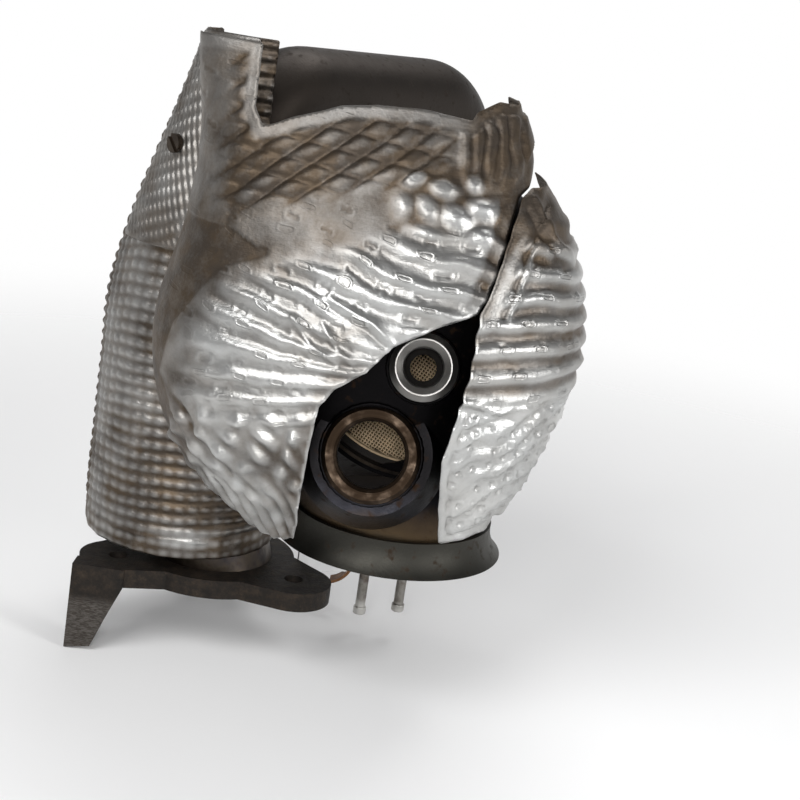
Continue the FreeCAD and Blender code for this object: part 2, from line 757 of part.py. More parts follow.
def neck_clip(sheet):
    """Small slotted clip that pins the neck shield."""
    angle = math.radians(neck_clip_angle)
    radius = between(column_rows, neck_clip_height, 2) + neck_lift
    outward = Vector(math.cos(angle), math.sin(angle), 0)
    axis = Vector(between(column_rows, neck_clip_height, 1), column_y, neck_clip_height)
    seat = axis + outward * (radius + column_rib_height)
    head = Part.makeCylinder(clip_head_radius, clip_head_height, seat, outward)
    slot = Part.makeBox(clip_slot_width, 3 * clip_head_radius, clip_head_height,
                        Vector(-clip_slot_width / 2, -1.5 * clip_head_radius, clip_head_height / 2))
    slot.Placement = FreeCAD.Placement(seat, FreeCAD.Rotation(Vector(0, 0, 1), outward)).multiply(slot.Placement)
    shank = Part.makeCylinder(clip_head_radius / 2, column_rib_height, axis + outward * radius, outward)
    return head.fuse(shank).cut([slot, sheet])


def post(foot, direction, length, cutters):
    """Round post from a can's wall to the inside of a sheet: the piece that is left nearest to its middle."""
    rod_through = Part.makeCylinder(standoff_radius, length, foot, direction)
    middle = foot + direction * (length / 2)
    return min(rod_through.cut(cutters).Solids, key=lambda piece: (piece.CenterOfMass - middle).Length)


def forward_posts(places, sheet, outside):
    """Posts from the chamber to the front or the side shield."""
    reach = chamber_depth + chamber_radius / 2
    return [post(Vector(x, chamber_back_y - weld_gap, z), Vector(0, -1, 0), reach, [sheet, outside])
            for x, z in places]


def rear_posts(sheet):
    """Posts round the main can, in two rows, under the rear shield."""
    rows = [main_shield_start + rear_standoff_inset, main_shield_start + main_shield_length - rear_standoff_inset]
    posts = []
    for angle in rear_standoff_angles:
        outward = Vector(math.cos(math.radians(angle)), 0, math.sin(math.radians(angle)))
        for y in rows:
            foot = Vector(main_x, y, main_z) + outward * main_can_radius
            posts.append(post(foot, outward, main_shield_gap, [sheet, main_can()]))
    return posts


def column_posts(sheets):
    """Posts round the column's can, in two rows, under its shields."""
    rows = [column_can_bottom + column_standoff_inset, column_can_top - column_standoff_inset]
    can = column_can()
    posts = []
    for angle in column_standoff_angles:
        outward = Vector(math.cos(math.radians(angle)), math.sin(math.radians(angle)), 0)
        for z in rows:
            reach = between(column_rows, z, 2) - column_can_radius
            foot = Vector(column_x, column_y, z) + outward * column_can_radius
            posts.append(post(foot, outward, reach, sheets + [can]))
    return posts


def main():
    os.makedirs("parts", exist_ok=True)
    outside = chamber_solid(0)
    front_points = front_pipe_points()
    rear_points = rear_pipe_points()
    front_hole = Part.makeCylinder(pipe_radius - pipe_wall, 30, front_points[0], Vector(0, 1, 0))
    rear_hole = Part.makeCylinder(pipe_radius - pipe_wall, 30, rear_points[0], Vector(0, 0, -1))
    export("outlet_flare", outlet_flare())
    export("chamber_shell", chamber_shell(outside, front_hole))
    export("chamber_back", chamber_back(outside))
    export("large_port", large_port(outside))
    export("sensor_boss", sensor_boss())
    export("main_can", main_can())
    export("main_mat", main_mat())
    export("main_brick", main_brick())
    export("flow_baffle", flow_baffle())
    export("rear_cone", rear_cone(rear_hole))
    export("transfer_duct", transfer_duct())
    export("column_can", column_can())
    export("column_mat", column_mat())
    export("column_brick", column_brick())
    export("column_top_cone", column_top_cone())
    export("column_bottom_cone", column_bottom_cone())
    export("inlet_flange", inlet_flange())
    export("pressure_pipe_front", pipe(front_points, pipe_front_tip).cut(outside))
    export("pressure_pipe_rear", pipe(rear_points, pipe_rear_tip).cut(rear_cone_solid(0, 0)))
    export("pipe_clip", pipe_clip())
    export("support_strap", support_strap())
    skin = hull_body(0, 2, True).cut(hull_body(-shield_wall, 5, False))
    front = skin.common(cutter(front_outline))
    side = skin.common(cutter(side_outline))
    export("front_shield", front)
    export("side_shield", side)
    column_front = column_shield()
    column_rear = column_sheet(column_rear_angles, column_rows[0][0], column_rear_top, 0)
    rear = rear_shield()
    export("column_shield", column_front)
    export("column_rear_shield", column_rear)
    neck = column_sheet(neck_angles, neck_bottom, column_rows[-1][0], neck_lift)
    export("neck_shield", neck)
    export("rear_shield", rear)
    export("lower_shield", lower_shield())
    export("neck_clip", neck_clip(neck))
    export("front_standoffs", Part.makeCompound(forward_posts(front_standoff_places, front, outside)))
    export("side_standoffs", Part.makeCompound(forward_posts(side_standoff_places, side, outside)))
    export("rear_standoffs", Part.makeCompound(rear_posts(rear)))
    export("column_standoffs", Part.makeCompound(column_posts([column_front, column_rear])))


main()
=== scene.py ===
"""Looks of a close-coupled catalytic converter: embossed heat shields, ports, honeycomb and stained steel.

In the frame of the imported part. Objects are in metres, and the functions that shape the sheets work in
millimetres. Each sheet is a fine mesh over a plain shield, with its ribs, quilting, stamps, creases and
dents in the geometry. Everything else keeps its solid and gets a finish.
"""

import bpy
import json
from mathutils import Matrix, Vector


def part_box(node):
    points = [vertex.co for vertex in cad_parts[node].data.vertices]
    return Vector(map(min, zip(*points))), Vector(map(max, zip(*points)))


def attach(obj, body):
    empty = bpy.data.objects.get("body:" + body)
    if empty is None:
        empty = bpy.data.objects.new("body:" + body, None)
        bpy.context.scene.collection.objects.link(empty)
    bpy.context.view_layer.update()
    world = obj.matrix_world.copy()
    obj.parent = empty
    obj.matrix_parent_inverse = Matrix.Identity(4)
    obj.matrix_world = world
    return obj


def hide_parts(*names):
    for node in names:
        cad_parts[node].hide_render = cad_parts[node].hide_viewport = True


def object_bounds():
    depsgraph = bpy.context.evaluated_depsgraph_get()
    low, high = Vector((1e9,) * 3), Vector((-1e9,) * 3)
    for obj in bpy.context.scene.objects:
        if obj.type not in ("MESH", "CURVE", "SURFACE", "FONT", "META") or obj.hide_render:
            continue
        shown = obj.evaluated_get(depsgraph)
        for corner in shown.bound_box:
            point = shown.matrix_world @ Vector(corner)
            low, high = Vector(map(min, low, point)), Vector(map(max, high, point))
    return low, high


bl_info = {
    "name": "Catalytic converter dress",
    "version": (1, 0, 0),
    "blender": (4, 5, 0),
    "location": "View3D > Sidebar > Converter",
    "description": "Builds the embossed shields, the honeycomb and the finishes of a catalytic converter",
    "category": "Object",
}

import json
import math

import bpy
import numpy as np
from mathutils import Matrix, Vector
from mathutils.bvhtree import BVHTree
from mathutils.kdtree import KDTree

MM = 0.001
BODY = "root"

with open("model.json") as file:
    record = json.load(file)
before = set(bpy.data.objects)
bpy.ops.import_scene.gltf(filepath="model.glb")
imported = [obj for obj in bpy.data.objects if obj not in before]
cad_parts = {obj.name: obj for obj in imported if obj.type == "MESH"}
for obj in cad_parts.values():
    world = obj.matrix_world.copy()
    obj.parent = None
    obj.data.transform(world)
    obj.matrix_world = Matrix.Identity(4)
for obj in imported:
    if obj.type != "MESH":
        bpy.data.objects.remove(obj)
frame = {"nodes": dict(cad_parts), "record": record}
CAD_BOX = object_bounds()


# ---------------------------------------------------------------- numbers over a sheet
def smooth_step(low, high, value):
    """0 below low, 1 above high, eased in between."""
    share = np.clip((value - low) / (high - low), 0.0, 1.0)
    return share * share * (3.0 - 2.0 * share)


def blob(x, z, centre, half, turn=0.0):
    """Round bump of height 1 about a centre, with its own half widths and turn."""
    dx = x - centre[0]
    dz = z - centre[1]
    cos = math.cos(math.radians(turn))
    sin = math.sin(math.radians(turn))
    along = (dx * cos + dz * sin) / half[0]
    across = (dz * cos - dx * sin) / half[1]
    return np.exp(-(along ** 2 + across ** 2))


def lattice_noise(x, z, size, seed):
    """Smooth noise between -1 and 1 with features of one size."""
    cells = 64
    table = np.random.default_rng(seed).uniform(-1.0, 1.0, (cells, cells))
    u = x / size
    v = z / size
    column = np.floor(u).astype(int)
    row = np.floor(v).astype(int)
    fu = u - column
    fv = v - row
    fu = fu * fu * (3 - 2 * fu)
    fv = fv * fv * (3 - 2 * fv)

    def at(dc, dr):
        return table[(column + dc) % cells, (row + dr) % cells]

    low = at(0, 0) * (1 - fu) + at(1, 0) * fu
    high = at(0, 1) * (1 - fu) + at(1, 1) * fu
    return low * (1 - fv) + high * fv


def crumple(x, z, size, seed):
    """Facets with sharp creases between them, between 0 and 1."""
    finer = 1.9
    weaker = 1.7
    whole = 1.94
    total = np.zeros_like(x)
    for octave in range(3):
        ridge = 1.0 - np.abs(lattice_noise(x, z, size / finer ** octave, seed + octave))
        total += ridge / weaker ** octave
    return total / whole


def wave(value, pitch):
    """Even wave between 0 and 1, with its crests a pitch apart."""
    return 0.5 + 0.5 * np.cos(2 * math.pi * value / pitch)


def stamps(u, v, pitch_u, pitch_v, half_u, half_v, seed, keep=0.9, ring=False):
    """Small stamped marks in staggered rows: raised rims round a flat floor.

    u and v run along and across the rows, and keep is the share of places that have a mark.
    """
    cells = 128
    row = np.floor(v / pitch_v).astype(int)
    shift = (row % 2) * 0.5
    column = np.floor(u / pitch_u + shift).astype(int)
    jitter = np.random.default_rng(seed).uniform(-1, 1, (cells, cells, 3))
    pick = jitter[row % cells, column % cells]
    du = u - (column - shift + 0.5 + 0.14 * pick[..., 0]) * pitch_u
    dv = v - (row + 0.5 + 0.10 * pick[..., 1]) * pitch_v
    if ring:
        away = np.sqrt((du / half_u) ** 2 + (dv / half_v) ** 2)
    else:
        away = (np.abs(du / half_u) ** 5 + np.abs(dv / half_v) ** 5) ** 0.2
    rim = np.exp(-((away - 1.0) / 0.22) ** 2)
    floor = 1.0 - smooth_step(0.7, 1.0, away)
    return (rim - 0.8 * floor) * (pick[..., 2] < 2 * keep - 1)


def fold(x, z, points, width):
    """Height 1 along a creased line through the points, falling off to both sides within a width."""
    best = np.full_like(x, 1e9)
    for (x0, z0), (x1, z1) in zip(points, points[1:]):
        length2 = (x1 - x0) ** 2 + (z1 - z0) ** 2
        share = np.clip(((x - x0) * (x1 - x0) + (z - z0) * (z1 - z0)) / length2, 0, 1)
        away = np.hypot(x - x0 - share * (x1 - x0), z - z0 - share * (z1 - z0))
        best = np.minimum(best, away)
    return np.exp(-(best / width) ** 1.4)


def folds(x, z, rows):
    """Sum of some folds, each with its strength, points and width."""
    return sum(strength * fold(x, z, points, width) for strength, points, width in rows)


def inside(x, z, outline):
    """True inside a closed outline."""
    result = np.zeros(x.shape, bool)
    for (x0, z0), (x1, z1) in zip(outline, outline[1:] + outline[:1]):
        crosses = (z0 > z) != (z1 > z)
        with np.errstate(divide="ignore", invalid="ignore"):
            at = (x1 - x0) * (z - z0) / (z1 - z0) + x0
        result ^= crosses & (x < at)
    return result


# ---------------------------------------------------------------- sheets over the plain shields
FORWARD = math.radians(270)
RAY_START = 220.0      # from the axis, in mm, and outside every sheet
RAY_REACH = 215.0      # ends short of the axis, so that a ray can't meet the far side
FACING_OUT = 0.25      # least share of a face's normal that points away from the axis
SMALLEST_LOOP = 8      # an edge with fewer points is a scrap
LONGEST_GAP = 30.0     # between the ends of an edge that closes, in mm
FARTHEST_EDGE = 40.0   # beyond this, in mm, a point counts as far from the edge
INNER_SHARE = 0.3      # of the faces on a sheet's inner side that are kept
BOX_INSET = 0.1 * MM   # that the sheets stay inside the part's box


def node_arrays(name):
    """Vertices of a node in millimetres and its triangles, welded."""
    node = frame["nodes"][name]
    mesh = node.data
    mesh.calc_loop_triangles()
    points = np.empty(len(mesh.vertices) * 3)
    mesh.vertices.foreach_get("co", points)
    world = np.array(node.matrix_world)
    points = (points.reshape(-1, 3) @ world[:3, :3].T + world[:3, 3]) / MM
    faces = np.empty(len(mesh.loop_triangles) * 3, int)
    mesh.loop_triangles.foreach_get("vertices", faces)
    _, first, back = np.unique(np.round(points, 3), axis=0, return_index=True, return_inverse=True)
    return points[first], back.reshape(-1)[faces.reshape(-1, 3)]


class Skin:
    """Outer face of a shield, seen from an upright axis: its distance by turn and height, and its edge."""

    def __init__(self, name, centre_of):
        self.points, self.faces = node_arrays(name)
        self.tree = BVHTree.FromPolygons(self.points.tolist(), self.faces.tolist())
        self.centre_of = centre_of
        a, b, c = (self.points[self.faces[:, i]] for i in range(3))
        normal = np.cross(b - a, c - a)
        middle = (a + b + c) / 3
        centre = np.array([centre_of(z) for z in middle[:, 2]])
        outward = middle[:, :2] - centre
        outward /= np.linalg.norm(outward, axis=1)[:, None]
        size = np.linalg.norm(normal, axis=1) + 1e-12
        facing = (normal[:, 0] * outward[:, 0] + normal[:, 1] * outward[:, 1]) / size
        self.outer = facing > FACING_OUT

    def edge_loops(self):
        """Closed lines of vertices round the outer face."""
        count = {}
        for tri in self.faces[self.outer]:
            for one, other in ((tri[0], tri[1]), (tri[1], tri[2]), (tri[2], tri[0])):
                key = (min(one, other), max(one, other))
                count[key] = count.get(key, 0) + 1
        chain = {}
        for (one, other), times in count.items():
            if times == 1:
                chain.setdefault(one, []).append(other)
                chain.setdefault(other, []).append(one)
        left = set(chain)
        while left:
            here = min(left)
            left.discard(here)
            loop = [here]
            while onward := [n for n in chain[here] if n in left]:
                here = onward[0]
                left.discard(here)
                loop.append(here)
            line = self.points[loop + [loop[0]]]
            if len(loop) >= SMALLEST_LOOP and np.linalg.norm(line[-1] - line[-2]) <= LONGEST_GAP:
                yield line

    def edge_points(self, step=0.25, ease=6):
        """Points along the edge of the outer face, eased so that its corners are a little round."""
        weights = np.hanning(2 * ease + 3)[1:-1]
        weights /= weights.sum()
        samples = []
        for line in self.edge_loops():
            run = np.concatenate([[0], np.cumsum(np.linalg.norm(np.diff(line, axis=0), axis=1))])
            places = np.arange(0, run[-1], step)
            dense = np.stack([np.interp(places, run, line[:, i]) for i in range(3)], axis=1)
            samples.append(sum(weight * np.roll(dense, shift, axis=0)
                               for weight, shift in zip(weights, range(-ease, ease + 1))))
        return np.vstack(samples)

    def distance(self, angle, z):
        """How far the outer face is from the axis, or nothing where there is no sheet."""
        cx, cy = self.centre_of(z)
        out = Vector((math.cos(angle), math.sin(angle), 0))
        hit = self.tree.ray_cast(Vector((cx, cy, z)) + out * RAY_START, -out, RAY_REACH)
        return None if hit[0] is None else RAY_START - hit[3]


def spread_over_gaps(grid, rounds):
    """Fills what is missing in a grid from its neighbours, and then evens it out over some windows.

    rounds holds the half width and the axis of each window.
    """
    filled = grid.copy()
    missing = np.isnan(filled)
    while missing.any():
        padded = np.pad(filled, 1, constant_values=np.nan)
        near = np.stack([padded[1 + di:padded.shape[0] - 1 + di, 1 + dj:padded.shape[1] - 1 + dj]
                         for di in (-1, 0, 1) for dj in (-1, 0, 1)])
        with np.errstate(invalid="ignore"):
            known = ~np.isnan(near)
            total = np.where(known, near, 0).sum(axis=0)
            number = known.sum(axis=0)
        grown = missing & (number > 0)
        filled[grown] = total[grown] / number[grown]
        missing = np.isnan(filled)
    for size, axis in rounds:
        pad = [(0, 0), (0, 0)]
        pad[axis] = (size, size)
        wide = np.pad(filled, pad, mode="reflect", reflect_type="odd")
        run = np.insert(np.cumsum(wide, axis=axis), 0, 0, axis=axis)
        kernel = 2 * size + 1
        length = filled.shape[axis]
        ends = np.take(run, range(kernel, kernel + length), axis=axis)
        starts = np.take(run, range(0, length), axis=axis)
        filled = (ends - starts) / kernel
    return filled


def whole_cells(there):
    """True for each cell of a grid whose four corners are all there."""
    return there[:-1, :-1] & there[1:, :-1] & there[:-1, 1:] & there[1:, 1:]


def along_rows(x, y, turns):
    """Distance along each row of a grid, from the turn that faces straight forward."""
    step = np.hypot(np.diff(x, axis=1), np.diff(y, axis=1))
    run = np.concatenate([np.zeros((len(x), 1)), np.cumsum(step, axis=1)], axis=1)
    front = int(np.argmin(np.abs(turns - FORWARD)))
    return run - run[:, front][:, None]


def outward_normals(place, turns):
    """Unit normals of a grid of points, on the side away from the axis."""
    normal = np.cross(np.gradient(place, axis=1), np.gradient(place, axis=0))
    normal /= np.linalg.norm(normal, axis=-1)[..., None]
    flat = 0 * place[..., 0]
    outward = np.stack([np.cos(turns) + flat, np.sin(turns) + flat, flat], axis=-1)
    return normal * np.sign((normal * outward).sum(axis=-1))[..., None]


def pressed_sheet(node, centre_of, angles, pitch, shape, wall, even, centre_radius):
    """A node's sheet with its embossing.

    shape(x, z, s, keep) gives the height over the plain sheet and a dict of what the finish reads at each
    point, from its place, its distance s along its row and its distance keep from the edge. angles, in
    degrees, and the node's own heights bound the grid. even is the width that the plain sheet's ribs are
    evened out over, and centre_radius the distance from the axis at which the grid is as wide as its pitch.
    """
    skin = Skin(node, centre_of)
    low, high = (corner[2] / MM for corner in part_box(node))
    turns = np.radians(np.arange(angles[0], angles[1], math.degrees(pitch / centre_radius)))
    levels = np.arange(low, high + pitch / 2, pitch)
    grid = np.full((len(levels), len(turns)), np.nan)
    for i, z in enumerate(levels):
        for j, angle in enumerate(turns):
            found = skin.distance(angle, z)
            if found is not None:
                grid[i, j] = found
    there = ~np.isnan(grid)
    steps = max(int(even / pitch / 2), 1)
    radius = spread_over_gaps(grid, [(steps, 0), (steps, 0), (max(steps // 2, 1), 1)])
    centre = np.array([skin.centre_of(z) for z in levels])
    x = centre[:, 0][:, None] + radius * np.cos(turns)[None, :]
    y = centre[:, 1][:, None] + radius * np.sin(turns)[None, :]
    z = np.repeat(levels[:, None], len(turns), axis=1)
    place = np.stack([x, y, z], axis=-1)
    normal = outward_normals(place, turns)

    # faces stand where all four corners are on the sheet, and the outermost points are drawn onto its edge
    cell = whole_cells(there)
    used = np.zeros_like(there)
    for part in (used[:-1, :-1], used[1:, :-1], used[:-1, 1:], used[1:, 1:]):
        part |= cell
    edge = skin.edge_points()
    tree = KDTree(len(edge))
    for index, point in enumerate(edge):
        tree.insert(point, index)
    tree.balance()
    snapped = place.copy()
    for i, j in np.argwhere(used & ~whole_cells(np.pad(cell, 1))):
        hit = tree.find(place[i, j])
        if hit[2] < 3 * pitch + 2.5:
            pull = edge[hit[1]] - place[i, j]
            pull -= normal[i, j] * float(np.dot(pull, normal[i, j]))
            snapped[i, j] = place[i, j] + pull
    from_edge = np.full(there.shape, FARTHEST_EDGE)
    for i, j in np.argwhere(used):
        from_edge[i, j] = min(tree.find(snapped[i, j])[2], FARTHEST_EDGE)

    height, labels = shape(snapped[..., 0], snapped[..., 2], along_rows(x, y, turns), from_edge)
    place = snapped + normal * height[..., None]
    number = np.full(there.shape, -1)
    number[used] = np.arange(used.sum())
    i, j = np.nonzero(cell)
    corners = np.stack([number[i, j], number[i, j + 1], number[i + 1, j + 1], number[i + 1, j]], axis=1)
    mesh = bpy.data.meshes.new(node + "_sheet")
    mesh.from_pydata((place[used] * MM).tolist(), [], corners.tolist())
    for label, values in labels.items():
        layer = mesh.attributes.new(label, "FLOAT", "POINT")
        layer.data.foreach_set("value", np.broadcast_to(values, there.shape)[used].astype(np.float32))
    sheet = bpy.data.objects.new(node + "_sheet", mesh)
    bpy.context.scene.collection.objects.link(sheet)
    thicken(sheet, wall)
    return sheet


def thicken(sheet, wall):
    """Gives a sheet its wall on the inside, and thins out the faces that only its inner side has."""
    sheet.vertex_groups.new(name="inner")
    wall_modifier = sheet.modifiers.new("wall", "SOLIDIFY")
    wall_modifier.thickness = wall * MM
    wall_modifier.offset = -1
    wall_modifier.shell_vertex_group = "inner"
    wall_modifier.use_even_offset = False
    thin = sheet.modifiers.new("inner side", "DECIMATE")
    thin.ratio = (1 + INNER_SHARE) / 2
    thin.vertex_group = "inner"
    thin.vertex_group_factor = 10
    apply_modifiers(sheet)
    sheet.vertex_groups.clear()
    co = np.empty(len(sheet.data.vertices) * 3)
    sheet.data.vertices.foreach_get("co", co)
    kept = np.clip(co.reshape(-1, 3), np.array(CAD_BOX[0]) + BOX_INSET, np.array(CAD_BOX[1]) - BOX_INSET)
    sheet.data.vertices.foreach_set("co", kept.reshape(-1))
    sheet.data.polygons.foreach_set("use_smooth", [True] * len(sheet.data.polygons))


def apply_modifiers(piece):
    """Puts the mesh that a piece's modifiers make in place of its own."""
    graph = bpy.context.evaluated_depsgraph_get()
    made = bpy.data.meshes.new_from_object(piece.evaluated_get(graph))
    old = piece.data
    piece.modifiers.clear()
    piece.data = made
    made.name = piece.name
    bpy.data.meshes.remove(old)


# ---------------------------------------------------------------- shape of each sheet
# Lines over the front and side sheets are points of x and z, in millimetres.
RIB_PITCH = 10.5
QUILT_PITCH = (12.6, 9.4)
PILLOW_PITCH = (5.9, 5.7)
DASH_PITCH = (2.7, 6.3)
MARK_PITCH = 16.5       # from mark to mark along a ridge of the front shield
SIDE_MARK_PITCH = 14.0
MEET = (45.0, 97.0)     # where the lower ridges of the front shield run together
BAND_LOW = [(-120.0, 104.0), (-94.0, 111.0), (-84.0, 121.0), (-72.0, 128.0), (-53.0, 137.0), (-33.0, 146.0),
            (-18.0, 152.0), (0.0, 160.0), (40.0, 176.0)]
BAND_HIGH = [(-120.0, 146.0), (-78.0, 147.0), (-54.0, 154.0), (-35.0, 161.0), (-17.0, 166.0),
             (10.0, 172.0), (40.0, 180.0)]
FLANGE_CREASE = [(-66.0, 134.0), (-73.0, 131.0), (-84.0, 126.0), (-94.0, 111.0), (-102.0, 98.0),
                 (-107.5, 74.0), (-101.0, 62.0)]
OUTSIDE_CREASE = FLANGE_CREASE + [(-100, 45), (-130, 30), (-130, 140), (-80, 140)]
FRONT_FOLDS = (
    (-1.0, FLANGE_CREASE, 1.3),
    (0.8, [(-94, 58), (-82, 42), (-66, 33), (-52, 29)], 1.6),
    (0.7, [(-90, 66), (-76, 48), (-58, 37)], 1.4),
    (-0.8, [(-92, 62), (-79, 45), (-62, 35)], 1.2),
    (0.9, [(-37, 122), (-19, 115), (-8, 107)], 1.2),
    (-0.9, [(-39, 119), (-21, 112), (-12, 106)], 1.3),
    (0.8, [(-50, 112), (-43, 104), (-30, 97)], 0.9),
    (0.8, [(-38, 112), (-31, 103), (-24, 98)], 0.9),
    (-0.45, [(-70, 181), (-80, 160), (-84, 138)], 3.2),
)
KNOTS = (  # the shiny bumps below the lug: centre, half widths and turn
    ((-11, 170), (4.6, 3.0), 20), ((1, 168), (6.0, 3.0), -8), ((8, 158), (6.5, 3.4), -14),
    ((-15, 160), (4.0, 4.6), 60), ((-4, 160), (3.4, 5.0), 50), ((13, 171), (4.0, 3.0), -30),
    ((18, 162), (6.0, 3.2), -10), ((20, 152), (5.0, 2.6), -15), ((-2, 150), (7.0, 2.4), -12),
)
SIDE_SEAM = ([122, 131, 145, 171], [23.0, 25.5, 28.5, 36.0])   # heights, and x of the lapped edge there
SIDE_FOLDS = (
    (0.85, [(34.5, 122), (37.5, 132), (40.5, 147)], 1.1),
    (0.9, [(38, 168), (48, 155), (60, 143)], 1.0),
    (-0.7, [(36, 163), (45, 152), (57, 141)], 1.2),
    (1.0, [(20, 88.5), (27, 87), (36, 84), (48, 86)], 1.3),
    (-0.8, [(20, 84.5), (30, 83), (44, 80)], 1.8),
)


def line_height(points, x):
    """Height of a line of points above each x."""
    return np.interp(x, *zip(*points))


def pressed(height, gain, drop, lowest, highest):
    """Height over the sheet once it is deepened, set back and kept within what the plain sheet allows."""
    return np.clip(gain * height - drop, lowest, highest)


def front_shape(x, z, s, keep):
    """Front shield: quilted top, plain band, long ridges that run together, puckered lobe, crumpled lug."""
    low = line_height(BAND_LOW, x)
    high = line_height(BAND_HIGH, x)
    wander = 1.6 * lattice_noise(x, z, 17, 11) + 0.7 * lattice_noise(x, z, 6, 12)

    # long ridges: side by side above, and turned towards where they meet below
    upper = z + 0.20 * (x + 72)
    lower = MEET[1] - 118 * np.arctan2(MEET[1] - z, np.maximum(MEET[0] - x, 40.0))
    share = smooth_step(90, 114, z)
    ridge_at = lower * (1 - share) + upper * share + wander
    ridge = 1.15 * wave(ridge_at, RIB_PITCH) ** 1.3
    ridge += 0.16 * wave(ridge_at + 2.5 * lattice_noise(x, z, 14, 13), 4.6)
    ridge += 0.14 * crumple(x * 0.45, z * 1.2, 9, 14) * smooth_step(-80, -40, x)
    ridge_mask = smooth_step(-1, 12, low - z) * smooth_step(-101, -78, x) * smooth_step(56, 74, z)
    ridge_mask *= 1 - 0.9 * blob(x, z, (-15, 109), (12, 7), 20)

    # quilting
    lift = 1.25 * (z - 150)
    along = (x - 0.9 * lift + 1.3 * lattice_noise(x, z, 20, 21)) / QUILT_PITCH[0]
    across = (lift + 0.12 * x + 1.0 * lattice_noise(x, z, 18, 22)) / QUILT_PITCH[1]
    valley = np.abs(2 * (along - np.floor(along)) - 1)
    seam = np.abs(2 * (across - np.floor(across)) - 1)
    pillow = (1 - valley ** 2.0) ** 0.8 * (1 - 0.55 * seam ** 4)
    quilt_mask = smooth_step(-2, 7, z - high) * smooth_step(-96, -80, x) * (1 - smooth_step(-6, 10, x))
    quilt_mask *= smooth_step(3.5, 8.0, keep) * (1 - smooth_step(-89, -97, x))

    # puckered lower lobe, gathered at its foot
    lobe_mask = 1 - smooth_step(58, 80, z)
    pucker = wave(z + 0.55 * x + 3 * lattice_noise(x, z, 12, 31), 9.5)
    pucker *= 0.10 + 0.90 * wave(x - 0.3 * z + 4 * lattice_noise(x, z, 10, 32), 12.5)
    gathers = wave(0.86 * x + 0.5 * z + 2.2 * lattice_noise(x, z, 15, 33), 5.2)
    gather_mask = 1 - smooth_step(20, 46, z)
    lobe = (1.5 * pucker + 0.45 * crumple(x, z, 9, 34)) * (1 - gather_mask)
    lobe += (1.3 * gathers + 0.5 * crumple(x, z, 7, 35)) * gather_mask

    # creases, facets and dents
    marks = folds(x, z, FRONT_FOLDS)
    marks += -0.9 * blob(x, z, (-43, 108), (4.5, 3), -30) - 0.9 * blob(x, z, (-30, 106), (4.5, 3), -40)
    marks += 0.5 * blob(x, z, (-17, 109), (9, 5), 25)

    # shiny bumps below the lug, and the lug's own pleats
    knot = np.maximum.reduce([blob(x, z, *bump) for bump in KNOTS])
    knot_mask = smooth_step(-24, -10, x) * smooth_step(146, 156, z) * (1 - smooth_step(172, 180, z))
    knots = 1.6 * knot + 0.5 * crumple(x, z, 8, 41)
    lug_mask = smooth_step(0, 12, x) * smooth_step(168, 182, z)
    pleats = wave(x + 0.15 * (z - 185) + 1.8 * lattice_noise(x, z, 9, 42), 5.6)
    lug = 1.3 * pleats + 1.0 * crumple(x, z, 8, 43)

    plain = (1 - ridge_mask) * (1 - quilt_mask) * (1 - lobe_mask)
    height = ridge * ridge_mask * (1 - knot_mask) + 1.55 * pillow * quilt_mask
    height += lobe * lobe_mask * smooth_step(-110, -96, x)
    height += knots * knot_mask + lug * lug_mask + marks
    height += 0.55 * plain * (1 + 0.25 * lattice_noise(x, z, 8, 44))

    # stamped marks, fainter where the sheet is plain
    off_edge = smooth_step(2.0, 4.0, keep)
    mark_at = x + 0.12 * z + wander
    bar = stamps(mark_at, ridge_at, MARK_PITCH, RIB_PITCH, 3.1, 1.35, 51, 0.82)
    strength = 0.34 * ridge_mask + 0.16 * (1 - ridge_mask)
    height += bar * strength * (1 - knot_mask) * (1 - 0.8 * lobe_mask) * off_edge * (1 - quilt_mask)
    bar_on_quilt = stamps(along * QUILT_PITCH[0] + 5, across * QUILT_PITCH[1], *QUILT_PITCH, 2.6, 0.9, 52, 0.6)
    height += 0.12 * bar_on_quilt * quilt_mask

    # the flange round the dome lies lower; rims and cut edges are plain and a little turned up
    outside_crease = inside(x, z, OUTSIDE_CREASE)
    height = np.where(outside_crease, height * 0.25 - 0.5, height)
    top_rim = smooth_step(6.5, 4.5, keep) * smooth_step(150, 165, z)
    height = height * (1 - 0.85 * top_rim) + 0.75 * top_rim
    near = smooth_step(2.2, 0.0, keep)
    height = height * (1 - 0.5 * near) + 0.35 * near
    height = pressed(height, 1.55, 1.25, -1.15, 1.9)

